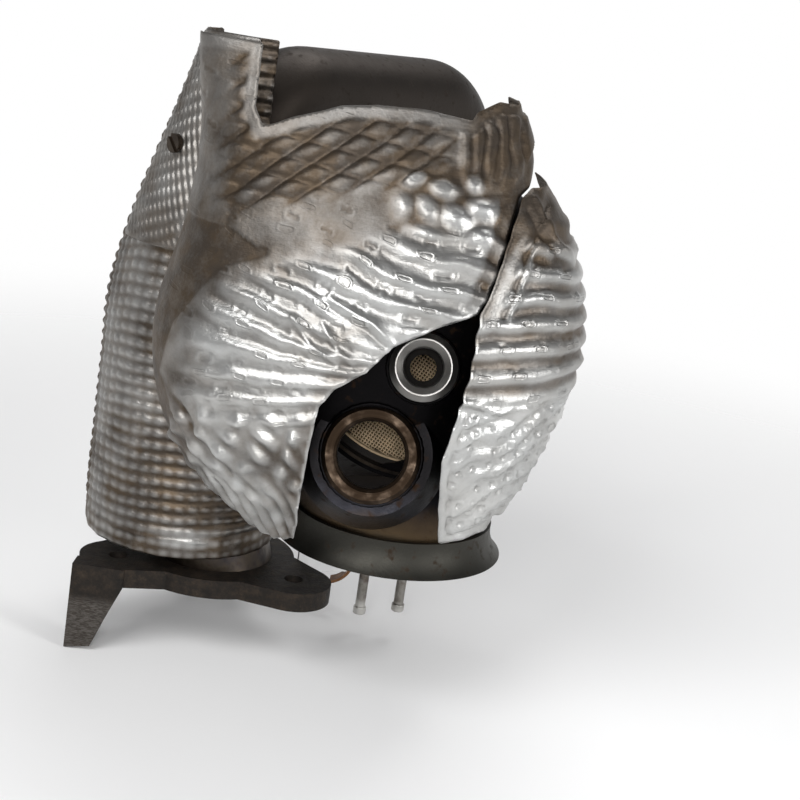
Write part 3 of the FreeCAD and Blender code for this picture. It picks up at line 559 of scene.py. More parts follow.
    # how dark the sheet is coloured: browned by place, painted shade in its grooves, and less on the knots and
    # the raw edge
    seam_strip = smooth_step(9.0, 5.0, keep) * smooth_step(14, 19, x) * smooth_step(122, 134, z)
    margin = smooth_step(10, 2, keep) * smooth_step(-52, -42, x) * (1 - smooth_step(90, 98, z))
    tint = 0.12 + 0.70 * smooth_step(-24, 8, z - low) + 0.50 * smooth_step(-78, -98, x)
    tint += 0.75 * seam_strip + 0.35 * margin + 0.6 * lug_mask
    tint += 0.30 * blob(x, z, (-40, 106), (16, 8)) + 0.25 * blob(x, z, (-22, 96), (16, 6))
    tint += 0.28 * blob(x, z, (-52, 50), (13, 9))
    tint -= 0.55 * knot_mask * knot - 0.10 * lattice_noise(x, z, 13, 61) - 0.08 * lattice_noise(x, z, 4, 62)
    # browning over the quilt, with painted shade in the quilt's grooves and the lobe's pucker valleys
    tint += quilt_mask * (0.45 - 0.34 * pillow) + 0.30 * lobe_mask * (1 - pucker) * smooth_step(-112, -96, x)
    # darker outside the crease low down, and painted shade along the flange crease
    tint += 0.22 * outside_crease * smooth_step(128, 108, z) + 0.35 * fold(x, z, FLANGE_CREASE, 1.4)
    tint = np.minimum(tint, 0.72 + 0.28 * np.maximum(lug_mask, quilt_mask))
    # painted shade between the knots
    tint += 0.35 * knot_mask * (1 - knot) ** 2
    tint = np.clip(tint, 0, 1) * (1 - 0.8 * smooth_step(0.9, 0.3, keep) * (1 - smooth_step(120, 150, z)))
    # painted shade in the hollows: darker where the sheet lies lower
    tint = np.clip(tint + 0.26 * smooth_step(0.2, -1.1, height), 0, 1)
    gloss = np.clip(0.75 * ridge_mask + 0.6 * lobe_mask + 0.9 * knot * knot_mask, 0, 1)
    marked = off_edge * (1 - knot_mask) * (1 - quilt_mask) * (1 - 0.75 * lobe_mask) * (1 - lug_mask)
    marked = marked * (1 - 0.7 * smooth_step(0.35, 0.75, tint))
    return height, {"tint": tint, "gloss": gloss, "mark": marked, "mark_u": mark_at / MARK_PITCH,
                    "mark_v": ridge_at / RIB_PITCH + 0.5}


def side_shape(x, z, s, keep):
    """Side shield: wide level ribs above, and fine slanting wrinkles with ring stamps below a torn step."""
    wander = 1.0 * lattice_noise(x, z, 16, 111) + 0.5 * lattice_noise(x, z, 5, 112)
    slope = np.interp(z, [60, 100, 120, 145, 170], [0.06, 0.09, 0.02, -0.15, -0.3])
    rib_at = z - slope * (x - 40) + wander
    rib = 1.25 * wave(rib_at - 4, RIB_PITCH) ** 1.2 + 0.2 * crumple(x * 0.5, z, 7, 113)
    rib_mask = smooth_step(84, 92, z) * (1 - smooth_step(152, 166, z))
    from_seam = x - np.interp(z, *SIDE_SEAM)
    beside_seam = smooth_step(116, 124, z)
    margin = smooth_step(9.5, 6.0, from_seam) * beside_seam
    hem = smooth_step(4.2, 3.0, keep) * (1 - smooth_step(86, 90, z)) * (1 - smooth_step(30, 36, x))
    slant = wave(0.55 * x - 0.83 * z + 3 * lattice_noise(x, z, 14, 114), 8.6)
    fine = 0.85 * slant ** 1.3 + 0.8 * crumple(0.5 * x - 0.8 * z, 0.8 * x + 0.5 * z, 8, 115)
    low_mask = 1 - smooth_step(82, 91, z)
    rings = stamps(x + 0.3 * z, z - 0.35 * x, 6.4, 5.6, 1.75, 1.75, 116, 0.86, ring=True)
    bars = stamps(x, rib_at, SIDE_MARK_PITCH, RIB_PITCH, 1.9, 1.2, 117, 0.8)
    top_mask = smooth_step(146, 158, z)
    rough = blob(x, z, (61, 112), (7, 11), 20)
    height = rib * rib_mask * (1 - 0.9 * margin) + fine * low_mask * (1 - hem)
    height += 1.0 * crumple(x, z, 14, 118) * top_mask
    height += 0.42 * rings * low_mask * smooth_step(3.2, 4.6, keep) + 0.26 * bars * rib_mask * (1 - margin)
    lap = fold(x, z, [(33, 122), (36, 132), (39, 147), (45, 165)], 0.8)
    height += 0.55 * margin - 0.9 * lap * smooth_step(118, 124, z)
    height += folds(x, z, SIDE_FOLDS) + 0.8 * rough * (crumple(x, z, 4.5, 119) - 0.5)
    height += 0.75 * hem - 0.8 * smooth_step(5.4, 4.4, keep) * low_mask * (1 - hem)
    height = pressed(height, 1.45, 1.25, -1.15, 1.7)
    tint = 0.12 + 0.14 * rib_mask + 0.6 * top_mask + 0.28 * smooth_step(140, 152, z)
    tint += 0.12 * lattice_noise(x, z, 11, 120) + 0.25 * rough
    # painted shade towards the right, where the sheet turns away, and darker beside the lapped seam
    tint += 0.30 * smooth_step(64, 71, x) + 0.22 * smooth_step(5.0, 2.0, from_seam) * beside_seam
    # painted shade in the hollows, stronger between the ribs
    tint += 0.42 * smooth_step(0.3, -1.1, height) * rib_mask + 0.15 * smooth_step(0.1, -1.1, height)
    gloss = np.clip(0.9 - 0.6 * top_mask + 0.1 * low_mask, 0, 1)
    marked = rib_mask * (1 - margin) * smooth_step(2.0, 4.0, keep)
    return height, {"tint": np.clip(tint, 0, 1), "gloss": gloss, "mark": marked,
                    "mark_u": x / SIDE_MARK_PITCH, "mark_v": rib_at / RIB_PITCH + 0.12}


def waffle(u, v, pitch, sharp=0.8):
    """How near a place is to the middle of its pillow, across and up: 1 there and 0 in the grooves."""
    return wave(u, pitch[0]) ** sharp, wave(v, pitch[1]) ** sharp


def column_shape(x, z, s, keep):
    """Column shield: small square pillows on the left, level ridges with pits on the front, a plain skirt."""
    flank = np.clip(-(s + 34), 0, 60)
    climb = np.interp(z, [-20, 60, 140, 200], [0.02, 0.10, 0.28, 0.34])
    row_at = z + climb * flank - 0.03 * s
    row_at += 0.7 * lattice_noise(s, z, 22, 211) + 0.25 * lattice_noise(s, z, 6, 212)
    column_at = s + 0.05 * z + 0.8 * lattice_noise(s, z, 25, 213)
    across, down = waffle(column_at, row_at, PILLOW_PITCH)
    square = across * down
    ridge = down * (0.72 + 0.28 * across)
    left = smooth_step(-28, -46, s)
    pits = np.clip(1 - down, 0, 1) ** 3 * np.clip(across, 0, 1) ** 4
    height = 1.25 * (square * left + ridge * (1 - left)) - 0.35 * pits * (1 - left)
    skirt = 1 - smooth_step(-16, -9, z)
    drape = 0.5 * crumple(s, z, 11, 214)
    drape += 0.3 * np.cos(2 * math.pi * (s + 3 * lattice_noise(s, z, 9, 215)) / 13)
    height = height * (1 - skirt) + drape * skirt
    height += 0.8 * fold(s, z, [(-60, -14.5), (20, -15.5)], 0.9) * (s < 60)
    height += 0.5 * lattice_noise(s, z, 30, 216) * (1 - skirt)
    # painted shade on the left flank, which turns away from the light; it darkens the colour below
    shaded_left_flank = smooth_step(-48, -66, s)
    shiny = blob(s, z, (12, -15), (12, 5))
    tint = 0.47 + 0.15 * smooth_step(-30, 0, s) + 0.60 * shaded_left_flank + 0.16 * lattice_noise(s, z, 16, 217)
    # browner towards the top, and painted shade in the grooves between the pillows
    tint += 0.22 * smooth_step(100, 150, z) + 0.42 * (1 - down * (0.5 + 0.5 * across))
    tint += 0.1 * skirt - 0.6 * shiny
    gloss = np.clip(0.55 - 0.2 * shaded_left_flank + 0.4 * shiny, 0, 1)
    return pressed(height, 1.0, 1.15, -0.95, 0.3), {"tint": np.clip(tint, 0, 1), "gloss": gloss}


def rear_shape(x, z, s, keep):
    """Sheet behind the column: the same small pillows, level and a little worn."""
    row_at = z + 0.6 * lattice_noise(s, z, 20, 311)
    across, down = waffle(s + 0.6 * lattice_noise(s, z, 20, 312), row_at, PILLOW_PITCH)
    height = 1.1 * across * down + 0.3 * lattice_noise(s, z, 24, 313)
    skirt = smooth_step(8, 4, keep)
    height = height * (1 - skirt) + 0.5 * skirt
    # painted shade in the grooves between the pillows
    tint = 0.42 + 0.2 * lattice_noise(s, z, 18, 314) + 0.1 * (1 - down)
    return pressed(height, 1.0, 1.05, -0.95, 0.3), {"tint": np.clip(tint, 0, 1), "gloss": 0.45}


def neck_shape(x, z, s, keep):
    """Neck shield: narrow upright dashes in rows that climb, over a plain strip at its lapped edge."""
    row_at = z - 0.42 * s + 0.5 * lattice_noise(s, z, 15, 411)
    across, down = waffle(s + 0.4 * row_at + 0.3 * lattice_noise(s, z, 9, 412), row_at, DASH_PITCH, 0.9)
    height = 0.75 * across * (0.25 + 0.75 * down) + 0.35 * lattice_noise(s, z, 18, 413)
    lap = smooth_step(2.6, 1.2, keep)
    height = height * (1 - lap) + 0.2 * lap
    # painted shade in the grooves between the rows of dashes
    tint = 0.66 + 0.14 * lattice_noise(s, z, 12, 414) + 0.12 * (1 - down)
    return pressed(height, 1.0, 0.8, -0.8, 0.2), {"tint": np.clip(tint, 0, 1), "gloss": 0.35}


# ---------------------------------------------------------------- shader expressions
NOISE_ROUGHNESS = 0.55


class Value:
    """One socket of a node tree, usable in sums."""

    def __init__(self, nodes, socket):
        self.nodes = nodes
        self.socket = socket

    def _math(self, operation, *operands):
        return self.nodes.add("ShaderNodeMath", {"operation": operation}, dict(enumerate(operands)))

    def __add__(self, other):
        return self._math("ADD", self, other)

    def __sub__(self, other):
        return self._math("SUBTRACT", self, other)

    def __rsub__(self, other):
        return self._math("SUBTRACT", other, self)

    def __mul__(self, other):
        return self._math("MULTIPLY", self, other)

    def __pow__(self, other):
        return self._math("POWER", self, other)

    __radd__ = __add__
    __rmul__ = __mul__

    def floor(self):
        return self._math("FLOOR", self)

    def modulo(self, whole):
        return self._math("FLOORED_MODULO", self, whole)

    def clamped(self, low=0.0, high=1.0):
        return self.nodes.add("ShaderNodeClamp", {}, {"Value": self, "Min": low, "Max": high})

    def eased(self, low, high):
        """0 below low and 1 above high."""
        return self.nodes.add("ShaderNodeMapRange", {"interpolation_type": "SMOOTHSTEP"},
                              {"Value": self, "From Min": low, "From Max": high})


class Nodes:
    """Node tree of a material or of the world, emptied first."""

    def __init__(self, owner):
        owner.use_nodes = True
        self.tree = owner.node_tree
        self.tree.nodes.clear()

    def add(self, kind, settings, sockets, output=0):
        """Adds a node, sets it up, joins its sockets and returns one of its outputs, or nothing for None."""
        node = self.tree.nodes.new(kind)
        for key, value in settings.items():
            if key == "stops":
                ramp = node.color_ramp
                while len(ramp.elements) < len(value):
                    ramp.elements.new(0.5)
                for element, (place, colour) in zip(ramp.elements, value):
                    element.position = place
                    element.color = (*colour, 1.0)
            else:
                setattr(node, key, value)
        for key, value in sockets.items():
            socket = node.inputs[key]
            if isinstance(value, Value):
                self.tree.links.new(value.socket, socket)
            else:
                socket.default_value = value
        return None if output is None else Value(self, node.outputs[output])

    def split(self, vector):
        """The three numbers of a vector."""
        node = self.add("ShaderNodeSeparateXYZ", {}, {0: vector}).socket.node
        return [Value(self, output) for output in node.outputs]

    def mix(self, share, one, other):
        """Colour between two colours."""
        ends = [(*c, 1.0) if isinstance(c, tuple) else c for c in (one, other)]
        return self.add("ShaderNodeMix", {"data_type": "RGBA"}, {0: share, 6: ends[0], 7: ends[1]}, 2)


class Finish(Nodes):
    """Node tree of one material, with its shader ready."""

    def __init__(self, name, **constants):
        self.material = bpy.data.materials.new(name)
        super().__init__(self.material)
        fixed = {socket.replace("_", " "): value for socket, value in constants.items()}
        surface = self.add("ShaderNodeBsdfPrincipled", {}, fixed, "BSDF")
        self.shader = surface.socket.node
        self.add("ShaderNodeOutputMaterial", {}, {"Surface": surface}, None)

    def place(self):
        """Place in the part's frame, in metres."""
        return self.add("ShaderNodeTexCoord", {}, {}, "Object")

    def vector(self, operation, one, other=None, output=0):
        """Vector Math on a vector, and on a second one where it takes two."""
        operands = {0: one} if other is None else {0: one, 1: tuple(other)}
        return self.add("ShaderNodeVectorMath", {"operation": operation}, operands, output)

    def attribute(self, name):
        """Number that the mesh holds at each point."""
        return self.add("ShaderNodeAttribute", {"attribute_name": name}, {}, "Fac")

    def noise(self, size_mm, detail, stretch=(1.0, 1.0, 1.0)):
        """Noise with features of one size, between 0 and 1."""
        vector = self.add("ShaderNodeMapping", {}, {"Vector": self.place(), "Scale": stretch})
        return self.add("ShaderNodeTexNoise", {}, {"Vector": vector, "Scale": 1 / (size_mm * MM),
                                                   "Detail": detail, "Roughness": NOISE_ROUGHNESS})

    def ramp(self, value, stops):
        return self.add("ShaderNodeValToRGB", {"stops": stops}, {"Fac": value})

    def set(self, **values):
        """Joins values to sockets of the shader."""
        for socket, value in values.items():
            self.tree.links.new(value.socket, self.shader.inputs[socket.replace("_", " ")])

    def bump(self, height, distance_mm, strength):
        """Ends a finish with its fine relief, and returns its material."""
        self.set(Normal=self.add("ShaderNodeBump", {}, {"Height": height, "Distance": distance_mm * MM,
                                                        "Strength": strength}))
        return self.material


# ---------------------------------------------------------------- finishes
# sooty black, also the painted shade down the ports' bores
SOOT_AND_SHADE_BLACK = (0.008, 0.007, 0.006)
RUST_SPOTS = (0.050, 0.027, 0.014)


def scaled(colour, *shares):
    """A colour with its channels multiplied by one share, or by one each, up to 1."""
    return tuple(min(channel * share, 1.0) for channel, share in zip(colour, shares * (3 // len(shares))))


def shield_finish(bright, stain_and_shade):
    """Thin embossed aluminium, bright where it is clean and brown where it was hot, with painted shade in the
    same brown in its hollows.
    """
    f = Finish("embossed_aluminium", Metallic=1.0)
    tint = f.attribute("tint")
    gloss = f.attribute("gloss")
    cloud = f.noise(9, 4)
    grain = f.noise(1.3, 3)
    share = (tint + (cloud - 0.5) * 0.35 + (grain - 0.5) * 0.12).clamped()
    # the brown of the heat stain, which the tint also lays on as painted shade in the hollows
    stain = f.mix(f.noise(14, 3).eased(0.38, 0.62), stain_and_shade, scaled(stain_and_shade, 1.25, 1.16, 1.02))
    clean = f.mix(f.noise(30, 2).eased(0.35, 0.65), bright, scaled(bright, 0.93, 0.94, 0.95))
    rim, floor = stamped_marks(f)
    # the floors of the stamped marks get painted shade
    f.set(Base_Color=f.mix((share + 0.12 * floor).clamped(), clean, stain))
    f.set(Roughness=(0.48 - 0.12 * gloss + 0.08 * share + 0.12 * (f.noise(3.5, 3) - 0.5)).clamped(0.22, 0.7))
    scratches = f.noise(0.9, 2, (0.25, 0.25, 1.6))
    skin = f.noise(1.6, 4) + 0.5 * scratches + 0.6 * f.noise(4.2, 2)
    return f.bump(skin + 0.9 * rim - 1.3 * floor, 0.24, 0.7)


def stamped_marks(f):
    """Rims and floors of the small stamped marks, which stand in staggered rows on the ribs."""
    across = f.attribute("mark_v")
    row = across.floor()
    along = f.attribute("mark_u") + 0.5 * row.modulo(2.0)
    cell = f.add("ShaderNodeCombineXYZ", {}, {0: along.floor(), 1: row})
    luck = f.add("ShaderNodeTexWhiteNoise", {"noise_dimensions": "2D"}, {"Vector": cell}, "Value")
    half_length = 0.19
    half_width = 0.125
    du = (along - along.floor() - 0.5 + 0.12 * (luck - 0.5)) * (1 / half_length)
    dv = (across - row - 0.5 + 0.10 * (luck - 0.5)) * (1 / half_width)
    away = ((du * du * du * du + dv * dv * dv * dv) + 0.0001) ** 0.25
    there = f.attribute("mark") * (1 - luck.eased(0.80, 0.82))
    rim = away.eased(0.72, 0.92) * (1 - away.eased(1.0, 1.3)) * there
    floor = (1 - away.eased(0.62, 0.86)) * there
    return rim, floor


def plain_sheet_finish(name, bright):
    """Thin sheet without embossing, a little clouded."""
    f = Finish(name, Metallic=1.0)
    f.set(Base_Color=f.mix(f.noise(12, 3), bright, scaled(bright, 0.72)))
    f.set(Roughness=(0.26 + 0.2 * f.noise(4, 3)).clamped())
    return f.bump(f.noise(6, 3) + 0.4 * f.noise(1.2, 2), 0.5, 0.5)


def blackened_finish(name, base, low_glow, rough=0.42):
    """Heat-blackened steel with brown, gold and blue tints in soft bands above a height in millimetres."""
    f = Finish(name, Metallic=0.97)
    _, y, z = f.split(f.place())
    cloud = f.noise(22, 4)
    streak = f.noise(7, 4, (1.0, 1.0, 0.35))
    height = z * (1 / MM) + 16 * (cloud - 0.5) + 5 * (streak - 0.5)
    tints = f.ramp((height - low_glow) * (1 / 60.0),
                   [(0.0, (0.050, 0.046, 0.038)), (0.16, (0.075, 0.052, 0.030)),
                    (0.28, (0.045, 0.032, 0.022)), (0.42, (0.020, 0.020, 0.024)),
                    (0.6, base), (1.0, scaled(base, 0.8))])
    rust = f.noise(5, 5).eased(0.56, 0.72)
    inner = y.eased(-0.030, -0.012)
    f.set(Base_Color=f.mix(inner * 0.9, f.mix(rust * 0.5, tints, RUST_SPOTS), base))
    f.set(Roughness=(rough + 0.24 * (streak - 0.5) + 0.25 * rust).clamped(0.2, 0.9))
    return f.bump(f.noise(1.1, 4) + 0.5 * f.noise(5, 3), 0.16, 0.5)


def can_finish():
    """Dull can steel, browned by heat, with drawn lines and faint blue near the welds."""
    f = Finish("browned_can_steel", Metallic=0.9)
    cloud = f.noise(26, 4)
    spots = f.noise(4, 5)
    tint = f.ramp((cloud + 0.35 * (spots - 0.5)).clamped(),
                  [(0.25, (0.022, 0.019, 0.018)), (0.42, (0.045, 0.034, 0.025)),
                   (0.55, (0.075, 0.060, 0.046)), (0.7, (0.045, 0.039, 0.039)),
                   (0.85, (0.028, 0.028, 0.034))])
    f.set(Base_Color=f.mix(spots.eased(0.6, 0.75) * 0.6, tint, (0.065, 0.032, 0.015)))
    f.set(Roughness=(0.40 + 0.25 * (spots - 0.5) + 0.1 * (cloud - 0.5)).clamped(0.2, 0.8))
    return f.bump(f.noise(0.8, 2, (1.0, 1.0, 0.15)) + f.noise(3, 3), 0.12, 0.45)


def turned_finish(name, base, stain, centre, direction, stain_share, rough, shade_depth, shade_radius):
    """Turned steel: fine rings about the port's axis, a stain that clouds it, and painted shade in sooty black
    down its bore.
    """
    f = Finish(name, Metallic=1.0)
    offset = f.vector("SUBTRACT", f.place(), centre)
    depth = f.vector("DOT_PRODUCT", offset, direction, "Value")
    length = f.vector("LENGTH", offset, None, "Value")
    radius = f.add("ShaderNodeMath", {"operation": "SQRT"}, {0: (length * length - depth * depth).clamped()})
    ring_pitch = 0.35 * MM
    rings = f.add("ShaderNodeTexNoise", {"noise_dimensions": "1D"},
                  {"W": (radius + 0.6 * depth) * (1 / ring_pitch), "Scale": 1.0, "Detail": 2.0})
    threshold = 0.5 - 0.3 * stain_share
    cloud = f.noise(6, 4).eased(threshold, threshold + 0.36)
    share = (cloud * stain_share + 0.25 * (rings - 0.5)).clamped()
    # painted shade down the bore in sooty black, past a depth and inside a radius
    bore_shade = (-1.0 * depth).eased(shade_depth, shade_depth + 1.2 * MM)
    bore_shade = bore_shade * (1 - radius.eased(shade_radius, shade_radius + 0.5 * MM))
    f.set(Base_Color=f.mix(bore_shade * 0.96, f.mix(share, base, stain), SOOT_AND_SHADE_BLACK))
    f.set(Roughness=(rough + 0.18 * (rings - 0.5) + 0.2 * share + 0.3 * bore_shade).clamped(0.12, 0.8))
    return f.bump(rings + 0.6 * f.noise(0.9, 3), 0.09, 0.5)


def cast_finish():
    """Cast iron: grainy skin, dark brown, with a machined and scratched foot."""
    f = Finish("cast_iron_skin", Metallic=0.65)
    x, _, z = f.split(f.place())
    coarse = f.noise(5, 5)
    fine = f.noise(0.9, 4)
    skin = f.ramp((0.6 * coarse + 0.4 * fine).clamped(),
                  [(0.3, SOOT_AND_SHADE_BLACK), (0.48, (0.018, 0.014, 0.011)), (0.62, (0.036, 0.026, 0.018)),
                   (0.8, (0.060, 0.047, 0.036))])
    scratch = f.noise(0.7, 3, (0.35, 1.0, 2.4))
    foot = (-1.0 * z).eased(0.046, 0.052) * x.eased(-0.112, -0.120) * 0.8
    worn = f.mix(scratch.eased(0.42, 0.62), (0.045, 0.038, 0.032), (0.115, 0.105, 0.095))
    f.set(Base_Color=f.mix(foot, skin, worn))
    f.set(Roughness=(0.62 - 0.2 * foot + 0.3 * (fine - 0.5)).clamped(0.25, 0.95))
    return f.bump(0.8 * coarse + fine, 0.4, 0.7)


def pipe_finish():
    """Drawn tube, dulled along its length and bright at its cut end."""
    f = Finish("drawn_pipe_steel", Metallic=1.0)
    _, _, z = f.split(f.place())
    drawn = f.noise(0.5, 2, (1.0, 1.0, 0.08))
    cloud = f.noise(5, 4)
    tip = (-1.0 * z).eased(0.053, 0.060)
    grey = f.mix(cloud.eased(0.4, 0.7), (0.24, 0.23, 0.21), (0.11, 0.09, 0.075))
    f.set(Base_Color=f.mix(tip * 0.8, grey, (0.62, 0.61, 0.58)))
    f.set(Roughness=(0.36 + 0.2 * (drawn - 0.5) + 0.12 * cloud).clamped())
    return f.bump(drawn + 0.5 * f.noise(1.2, 3), 0.06, 0.5)


def rusty_finish():
    """Strip steel with a light coat of rust."""
    f = Finish("rusty_strip_steel", Metallic=0.7)
    coarse = f.noise(3, 5)
    fine = f.noise(0.7, 4)
    f.set(Base_Color=f.ramp((0.65 * coarse + 0.35 * fine).clamped(),
                            [(0.3, (0.050, 0.026, 0.014)), (0.5, (0.16, 0.075, 0.032)),
                             (0.65, (0.26, 0.13, 0.06)), (0.8, (0.20, 0.16, 0.13))]))
    f.set(Roughness=(0.58 + 0.3 * (fine - 0.5)).clamped(0.3, 0.95))
    return f.bump(coarse + fine, 0.2, 0.6)


def ceramic_finish(colour, front_y, depth):
    """Coated honeycomb ceramic: tan and dusty at its face, and darkened down its cells as painted shade."""
    f = Finish("coated_ceramic", Metallic=0.0, Specular_IOR_Level=0.2)
    cloud = f.noise(9, 4)
    dust = f.noise(0.8, 3)
    _, y, _ = f.split(f.place())
    patches = (cloud.eased(0.3, 0.7) * 0.7 + 0.3 * dust).clamped()
    face = f.mix(patches, scaled(colour, 0.62), scaled(colour, 1.18))
    # painted shade: the colour goes near black down the cells, from just behind the face to the cells' floor
    f.set(Base_Color=f.mix(y.eased(front_y + 0.2 * MM, front_y + depth) * 0.97, face, (0.012, 0.009, 0.006)))
    f.set(Roughness=(0.82 + 0.15 * (dust - 0.5)).clamped())
    return f.bump(dust, 0.08, 0.4)


def mat_finish():
    """Pale fibre mat, sooty at its front edge."""
    f = Finish("fibre_mat", Metallic=0.0)
    fibres = f.noise(0.4, 3, (1.0, 0.3, 1.0))
    _, y, _ = f.split(f.place())
    clean = f.mix(fibres, (0.62, 0.60, 0.54), (0.84, 0.82, 0.77))
    sooty = f.mix(fibres, (0.012, 0.010, 0.009), (0.030, 0.026, 0.022))
    f.set(Base_Color=f.mix(y.eased(0.010, -0.002), clean, sooty))
    f.set(Roughness=(0.9 + 0.08 * fibres).clamped())
    return f.bump(fibres + f.noise(1.5, 3), 0.3, 0.7)


# ---------------------------------------------------------------- meshes that add to the solids
WELD_STEP = 1.4 * MM
PORT_WELD_STEP = 1.3 * MM


def new_piece(name, vertices, faces, finish, smooth=True):
    """Makes a piece from its points and faces, and dresses it."""
    mesh = bpy.data.meshes.new(name)
    mesh.from_pydata([tuple(v) for v in vertices], [], faces)
    mesh.validate()
    mesh.polygons.foreach_set("use_smooth", [smooth] * len(mesh.polygons))
    piece = bpy.data.objects.new(name, mesh)
    bpy.context.scene.collection.objects.link(piece)
    dress(piece, finish)
    return piece


def dress(piece, finish):
    """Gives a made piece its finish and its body."""
    piece.data.materials.clear()
    piece.data.materials.append(finish)
    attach(piece, BODY)


def finish_node(name, finish):
    """Gives a kept solid its finish."""
    node = frame["nodes"][name]
    if not node.data.materials:
        node.data.materials.append(finish)
    for slot in node.material_slots:
        slot.link = "OBJECT"
        slot.material = finish


def middle(node):
    """Middle of a node's box."""
    low, high = (Vector(corner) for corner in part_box(node))
    return (low + high) / 2


def ring_axes(direction):
    """Two directions square to a direction and to each other."""
    side = direction.cross(Vector((0, 0, 1)))
    if side.length < 0.01:
        side = Vector((1, 0, 0))
    side.normalize()
    return side, direction.cross(side).normalized()


def circle_points(centre, direction, radius, count):
    """Points of a circle round a direction."""
    side, other = ring_axes(direction)
    angles = [2 * math.pi * step / count for step in range(count)]
    return [centre + (side * math.cos(angle) + other * math.sin(angle)) * radius for angle in angles]


def bead(name, points, radius, finish, seed):
    """Weld bead along a closed line of points, with the ripples of its passes."""
    rng = np.random.default_rng(seed)
    around = 8
    ripple_turn = 2.1
    count = len(points)
    vertices = []
    for index, point in enumerate(points):
        ahead = (points[(index + 1) % count] - points[index - 1]).normalized()
        size = radius * (1 + 0.16 * math.sin(index * ripple_turn) + 0.08 * rng.uniform(-1, 1))
        vertices += circle_points(point, ahead, size, around)
    faces = []
    for index in range(count):
        here = index * around
        onward = (index + 1) % count * around
        for step in range(around):
            beside = (step + 1) % around
            faces.append((here + step, here + beside, onward + beside, onward + step))
    return new_piece(name, vertices, faces, finish)


def round_weld(name, centre, direction, radius, finish, seed):
    """Bead round the end of a can or of the duct."""
    count = int(2 * math.pi * radius / WELD_STEP)
    bead(name, circle_points(centre, direction, radius, count), 0.9 * MM, finish, seed)


def port_weld(port, centre, direction, radius, finish, seed):
    """Bead where a round port meets the chamber's wall that it stands on."""
    low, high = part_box(port)
    foot = (high[0] - low[0]) / 2 + 0.6 * MM
    points, faces = node_arrays("chamber_shell")
    wall = BVHTree.FromPolygons((points * MM).tolist(), faces.tolist())
    found = []
    for point in circle_points(centre, direction, foot, int(2 * math.pi * foot / PORT_WELD_STEP)):
        hit = wall.ray_cast(point + direction * 20 * MM, -direction)
        found.append(point if hit[0] is None else hit[0])
    bead(port + "_weld", found, radius, finish, seed)


def port_axis():
    """The stated mounts by name, and the direction of both ports."""
    mounts = {mount["name"]: mount for mount in frame["record"]["mounts"]}
    return mounts, Vector(mounts["sensor_thread"]["axis"]).normalized()


def honeycomb(name, centre, radius, front_y, back_y, settings, finish):
    """Brick with open square cells in its round face: each has its frame and four walls, inside the skin."""
    cos = math.cos(math.radians(settings.turn))
    sin = math.sin(math.radians(settings.turn))
    pitch = settings.pitch
    floor_y = front_y + settings.depth
    skin = 0.9 * MM
    reach = int(radius / pitch) + 1
    half = pitch / 2
    bore_half = half - settings.wall / 2
    vertices = []
    faces = []
    for i in range(-reach, reach + 1):
        for j in range(-reach, reach + 1):
            if math.hypot(i, j) * pitch > radius - skin - 0.65 * pitch:
                continue
            start = len(vertices)
            for size, y in ((half, front_y), (bore_half, front_y), (bore_half, floor_y)):
                for du, dv in ((-size, -size), (size, -size), (size, size), (-size, size)):
                    u = i * pitch + du
                    v = j * pitch + dv
                    vertices.append((centre.x + u * cos - v * sin, y, centre.z + u * sin + v * cos))
            for k in range(4):
                after = (k + 1) % 4
                faces.append((start + k, start + after, start + 4 + after, start + 4 + k))
                faces.append((start + 4 + k, start + 4 + after, start + 8 + after, start + 8 + k))
    count = 96
    start = len(vertices)
    for size, y in ((radius - skin, floor_y), (radius - skin, front_y), (radius, front_y), (radius, back_y)):
        for step in range(count):
            angle = 2 * math.pi * step / count
            vertices.append((centre.x + size * math.cos(angle), y, centre.z + size * math.sin(angle)))
    for step in range(count):
        after = (step + 1) % count
        for ring in range(3):
            low = start + ring * count
            faces.append((low + step, low + after, low + count + after, low + count + step))
    faces.append(tuple(start + step for step in range(count)))
    faces.append(tuple(start + 3 * count + step for step in reversed(range(count))))
    return new_piece(name, vertices, faces, finish, smooth=False)


def thread(name, centre, direction, radius, pitch, turns, height, finish):
    """Internal thread as one winding ridge, which fades out at both ends."""
    side, other = ring_axes(direction)
    steps = 64
    fade_over = 16
    half_foot = 0.42
    vertices = []
    total = int(steps * turns)
    for index in range(total + 1):
        angle = 2 * math.pi * index / steps
        out = side * math.cos(angle) + other * math.sin(angle)
        along = -direction * (pitch * index / steps)
        fade = min(1.0, index / fade_over, (total - index) / fade_over)
        for away, lift in ((0.0, -half_foot), (-height * fade, 0.0), (0.0, half_foot)):
            vertices.append(centre + along + out * (radius + away) + direction * (lift * pitch))
    faces = []
    for index in range(total):
        base = 3 * index
        faces += [(base, base + 1, base + 4, base + 3), (base + 1, base + 2, base + 5, base + 4)]
    return new_piece(name, vertices, faces, finish)


# ---------------------------------------------------------------- values that a user would change
class ShieldSettings(bpy.types.PropertyGroup):
    """The embossed sheets"""
    fine_pitch: bpy.props.FloatProperty(
        name="Fine pitch",
        description="Spacing of the points on the front sheets, in mm",
        default=0.85, min=0.4, max=3.0)
    coarse_pitch: bpy.props.FloatProperty(
        name="Coarse pitch",
        description="Spacing of the points on the sheets behind, in mm",
        default=1.05, min=0.5, max=4.0)
    wall: bpy.props.FloatProperty(
        name="Wall", description="Thickness of the foil, in mm",
        default=0.7, min=0.2, max=1.5)
    bright: bpy.props.FloatVectorProperty(
        name="Clean aluminium",
        description="Colour where the sheet stayed clean",
        subtype="COLOR", default=(0.60, 0.60, 0.585), min=0, max=1)
    # the brown of heat stain, also the colour of the painted shade in the sheets' hollows
    stain_and_shade: bpy.props.FloatVectorProperty(
        name="Stained aluminium",
        description="Colour where heat browned the sheet",
        subtype="COLOR", default=(0.080, 0.065, 0.052), min=0, max=1)


